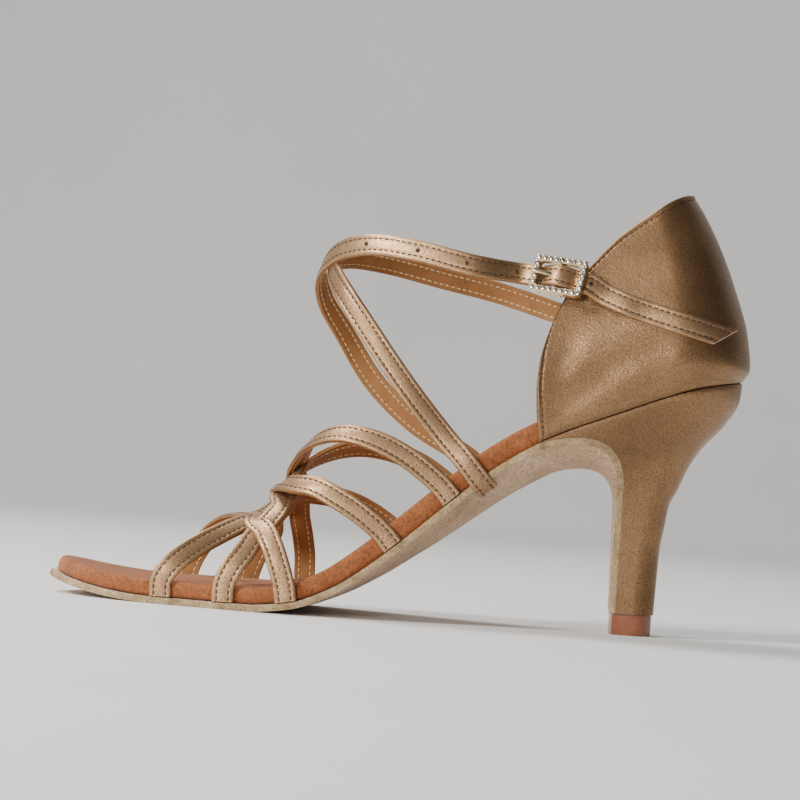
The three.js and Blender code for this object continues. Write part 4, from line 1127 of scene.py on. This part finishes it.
def build_buckle():
    outer = rounded_outline(BUCKLE_LENGTH, BUCKLE_WIDTH, BUCKLE_CORNER)
    inside = BUCKLE_LENGTH - 2 * BUCKLE_BAR, BUCKLE_WIDTH - 2 * BUCKLE_BAR
    inner = rounded_outline(*inside, 0.4 * BUCKLE_CORNER)
    d = BUCKLE_DEPTH / 2
    profile = [(0, -d), (0, d * 0.75), (0.12, d), (0.88, d), (1, d * 0.75), (1, -d)]
    rings = []
    for (ox, oy), (ix, iy) in zip(outer, inner):
        rings.append([buckle_point(mix(ox, ix, t), mix(oy, iy, t), c) for t, c in profile])
    rings.append(rings[0])
    frame_part = loft(rings, caps=False)
    deep = -BAR_DEEP + PIN_RADIUS
    cheeks = []
    for side in (-1, 1):
        y = side * SIDE_AT
        w, h = 2 * PIN_RADIUS, (BUCKLE_BAR - 0.3) / 2
        ring = [(-w, y - h), (w, y - h), (w, y + h), (-w, y + h)]
        cheeks.append(loft([[buckle_point(a, b, c) for a, b in ring] for c in (-d + 0.1, -deep)]))
    metal = merge([frame_part, *cheeks, centre_bar()])
    piece("buckle_metal", *metal, [GOLD], node="buckle_frame", slot="pale_gold", flip=True, sharp=35)

    # Clear stones in claws all round the frame
    seats = [(mix(-BAR_AT, BAR_AT, k / 8), side * SIDE_AT) for side in (-1, 1) for k in range(9)]
    seats += [(side * BAR_AT, mix(-SIDE_AT, SIDE_AT, k / 5)) for side in (-1, 1) for k in range(1, 5)]
    stones, claws = [], []

    def ring(a, b, high, radius, count, turn=0.0):
        return circle(buckle_point(a, b, d + high), ALONG * radius, OVER * radius, count, turn)

    for a, b in seats:
        stones.append(loft([ring(a, b, high, radius, 8, turn) for high, radius, turn in STONE_RINGS]))
        for k in range(4):
            angle = pi / 4 + pi / 2 * k
            ca, cb = a + CLAW_OUT * cos(angle), b + CLAW_OUT * sin(angle)
            claws.append(loft([ring(ca, cb, high, radius, 6) for high, radius in CLAW_RINGS]))
    piece("buckle_stones", *merge(stones), [STONE], smooth=False, slot="pale_gold", flip=True)
    piece("buckle_claws", *merge(claws), [GOLD], slot="pale_gold", flip=True)


def centre_bar():
    places = [buckle_point(0, mix(-SIDE_AT, SIDE_AT, k / 8), BAR_DEEP) for k in range(9)]
    return loft([circle(place, ALONG * PIN_RADIUS, OUT * PIN_RADIUS, 12) for place in places])


def build_prong():
    wrap = PIN_RADIUS + CLEAR + PRONG_RADIUS
    rest = BUCKLE_DEPTH / 2 + CLEAR + PRONG_RADIUS + 0.25
    points = []
    for degrees in (-80, -40, 0, 40, 80):
        angle = radians(degrees)
        points.append(buckle_point(wrap * cos(angle), 0, BAR_DEEP + wrap * sin(angle)))
    points += [buckle_point(-0.45 * BAR_AT, 0, mix(BAR_DEEP + wrap, rest, 0.62)),
               buckle_point(-BAR_AT, 0, rest), buckle_point(-BAR_AT - 0.45 * BUCKLE_BAR, 0, rest)]
    rings = []
    for point, tangent, _ in spline([(point, OUT) for point in points], 0.5):
        rings.append(circle(point, OVER * PRONG_WIDE, tangent.cross(OVER) * PRONG_HIGH, 14))
    piece("buckle_pin", *loft(rings), [GOLD], node="buckle_prong", slot="pale_gold", flip=True)


def build_tab():
    reach = PIN_RADIUS + CLEAR + TAB_THICK / 2
    rows = []
    for share in (1, 0.6, 0.1):
        y = SEAT.y + share * TAB_LENGTH * cos(BUCKLE_DROP)
        z = SEAT.z - share * (TAB_LENGTH * sin(BUCKLE_DROP) + TAIL_LOW)
        point, out = counter_face(1, y, z)
        rows.append((point + out * (1.3 * CLEAR + TAB_THICK / 2), out))
    for degrees in (270, 225, 180, 135, 90):
        angle = radians(degrees)
        out = ALONG * cos(angle) + OUT * sin(angle)
        rows.append((buckle_point(reach * cos(angle), 0, BAR_DEEP + reach * sin(angle)), -out))
    points, faces, slots = strap_loft(spline(rows, 0.7), TAB_WIDTH, TAB_THICK)
    piece("tab_leather", points, faces, STRAP_LOOK, slots, node="buckle_tab", sharp=40)


def build_holes():
    """Punched holes along the strap ahead of the buckle and behind it."""
    rows = ankle_rows(0.5)
    lengths = run_lengths([row[0] for row in rows])
    front_bar = buckle_point(-BAR_AT, 0, -3)
    index = min(range(len(rows)), key=lambda i: (rows[i][0] - front_bar).length)
    rims, shade_discs = [], []
    for distance in HOLES:
        place = lengths[index] + distance
        point, tangent, out = rows[min(range(len(rows)), key=lambda k: abs(lengths[k] - place))]
        side = tangent.cross(out)
        top = point + out * (0.54 * STRAP_THICK)

        def ring(radius, high):
            return circle(top + out * high, tangent * radius, side * radius, 20)

        rims.append(loft([ring(*row) for row in HOLE_RIM], caps=False))
        shade_discs.append(loft([ring(*row) for row in HOLE_SHADE_DISC]))
    piece("hole_rims", *merge(rims), [BRONZE])
    # Dark discs in the holes: painted shade for the hollow under each hole
    piece("hole_pits_painted_shade", *merge(shade_discs), [PAINTED_SHADE])


build_insole()
build_outsole()
build_heel()
build_tip()
build_counter()
strap_pieces("vamp", "vamp_straps", [vamp_rows(strap, 1.5) for strap in VAMP])
strap_pieces("ankle", "ankle_strap", [ankle_rows(1.2)], TIP_SLANT, 1.2)
build_buckle()
build_prong()
build_tab()
build_holes()


# Floor, backdrop, lights and camera

CAMERA_PLACE = Vector((1179.6, 74.9, 58))  # in mm, the photo's place from the counter and the heel
CAMERA_AIM = Vector((0, -0.001, 0.072))  # in metres
CAMERA_LENS, CAMERA_ROLL = 160, radians(4.2)


def build_stage():
    profile = [(-1.6, 0.0)]
    for k in range(17):
        angle = pi / 2 * k / 16
        profile.append((1.1 + 0.6 * sin(angle), 0.6 - 0.6 * cos(angle)))
    profile.append((1.7, 2.6))
    points = [Vector((-x, y, z)) for y in (-3.2, 3.2) for x, z in profile]
    n = len(profile)
    faces = [(k, k + 1, n + k + 1, n + k) for k in range(n - 1)]
    mesh = bpy.data.meshes.new("floor")
    mesh.from_pydata(points, [], faces)
    mesh.polygons.foreach_set("use_smooth", [True] * len(mesh.polygons))
    m = Nodes("floor_paper")
    colour = m.ramp(m.noise(3, 3), 0, [(0.3, (0.73, 0.725, 0.715)), (0.7, (0.77, 0.765, 0.755))])
    m.link(colour, 0, m.surface, "Base Color")
    m.set(Roughness=0.85)
    m.bump([(m.noise(900, 3), 0, 0.0001, 0.2)])
    mesh.materials.append(m.material)
    floor = bpy.data.objects.new("floor", mesh)
    scene.collection.objects.link(floor)


def area(name, place, target, size, power, colour=(1, 1, 1)):
    light = bpy.data.lights.new(name, "AREA")
    light.shape, light.size, light.energy, light.color = "DISK", size, power, colour
    obj = bpy.data.objects.new(name, light)
    obj.location = place
    obj.rotation_euler = (Vector(target) - Vector(place)).to_track_quat("-Z", "Y").to_euler()
    scene.collection.objects.link(obj)


build_stage()
area("key", (0.75, -1.0, 0.95), (0, 0, 0.08), 0.4, 26, (1.0, 0.97, 0.93))
area("top", (-0.35, -0.45, 1.1), (0, 0, 0.08), 0.5, 13, (1.0, 0.97, 0.94))
area("front", (1.5, -0.5, 0.3), (0, -0.02, 0.08), 0.25, 9, (1.0, 0.97, 0.94))
world = bpy.data.worlds.new("studio")
world.use_nodes = True
world_nodes, world_links = world.node_tree.nodes, world.node_tree.links
direction = world_nodes.new("ShaderNodeTexCoord")
parts = world_nodes.new("ShaderNodeSeparateXYZ")
fade = world_nodes.new("ShaderNodeMapRange")
for entry, value in zip(MAP_RANGE, (-0.9, 0.6, 0.6, 0.07)):
    fade.inputs[entry].default_value = value
world_links.new(direction.outputs["Generated"], parts.inputs[0])
world_links.new(parts.outputs["Y"], fade.inputs["Value"])
world_links.new(fade.outputs[0], world_nodes["Background"].inputs[1])
world_nodes["Background"].inputs[0].default_value = (0.92, 0.94, 0.97, 1)
scene.world = world

camera_data = bpy.data.cameras.new("camera")
camera_data.lens = CAMERA_LENS
camera = bpy.data.objects.new("camera", camera_data)
scene.collection.objects.link(camera)
camera.location = to_metres(CAMERA_PLACE)
camera.rotation_mode = "QUATERNION"
roll = Matrix.Rotation(CAMERA_ROLL, 4, "Z").to_quaternion()
camera.rotation_quaternion = (CAMERA_AIM - camera.location).to_track_quat("-Z", "Y") @ roll
scene.camera = camera
scene.view_settings.view_transform = "AgX"
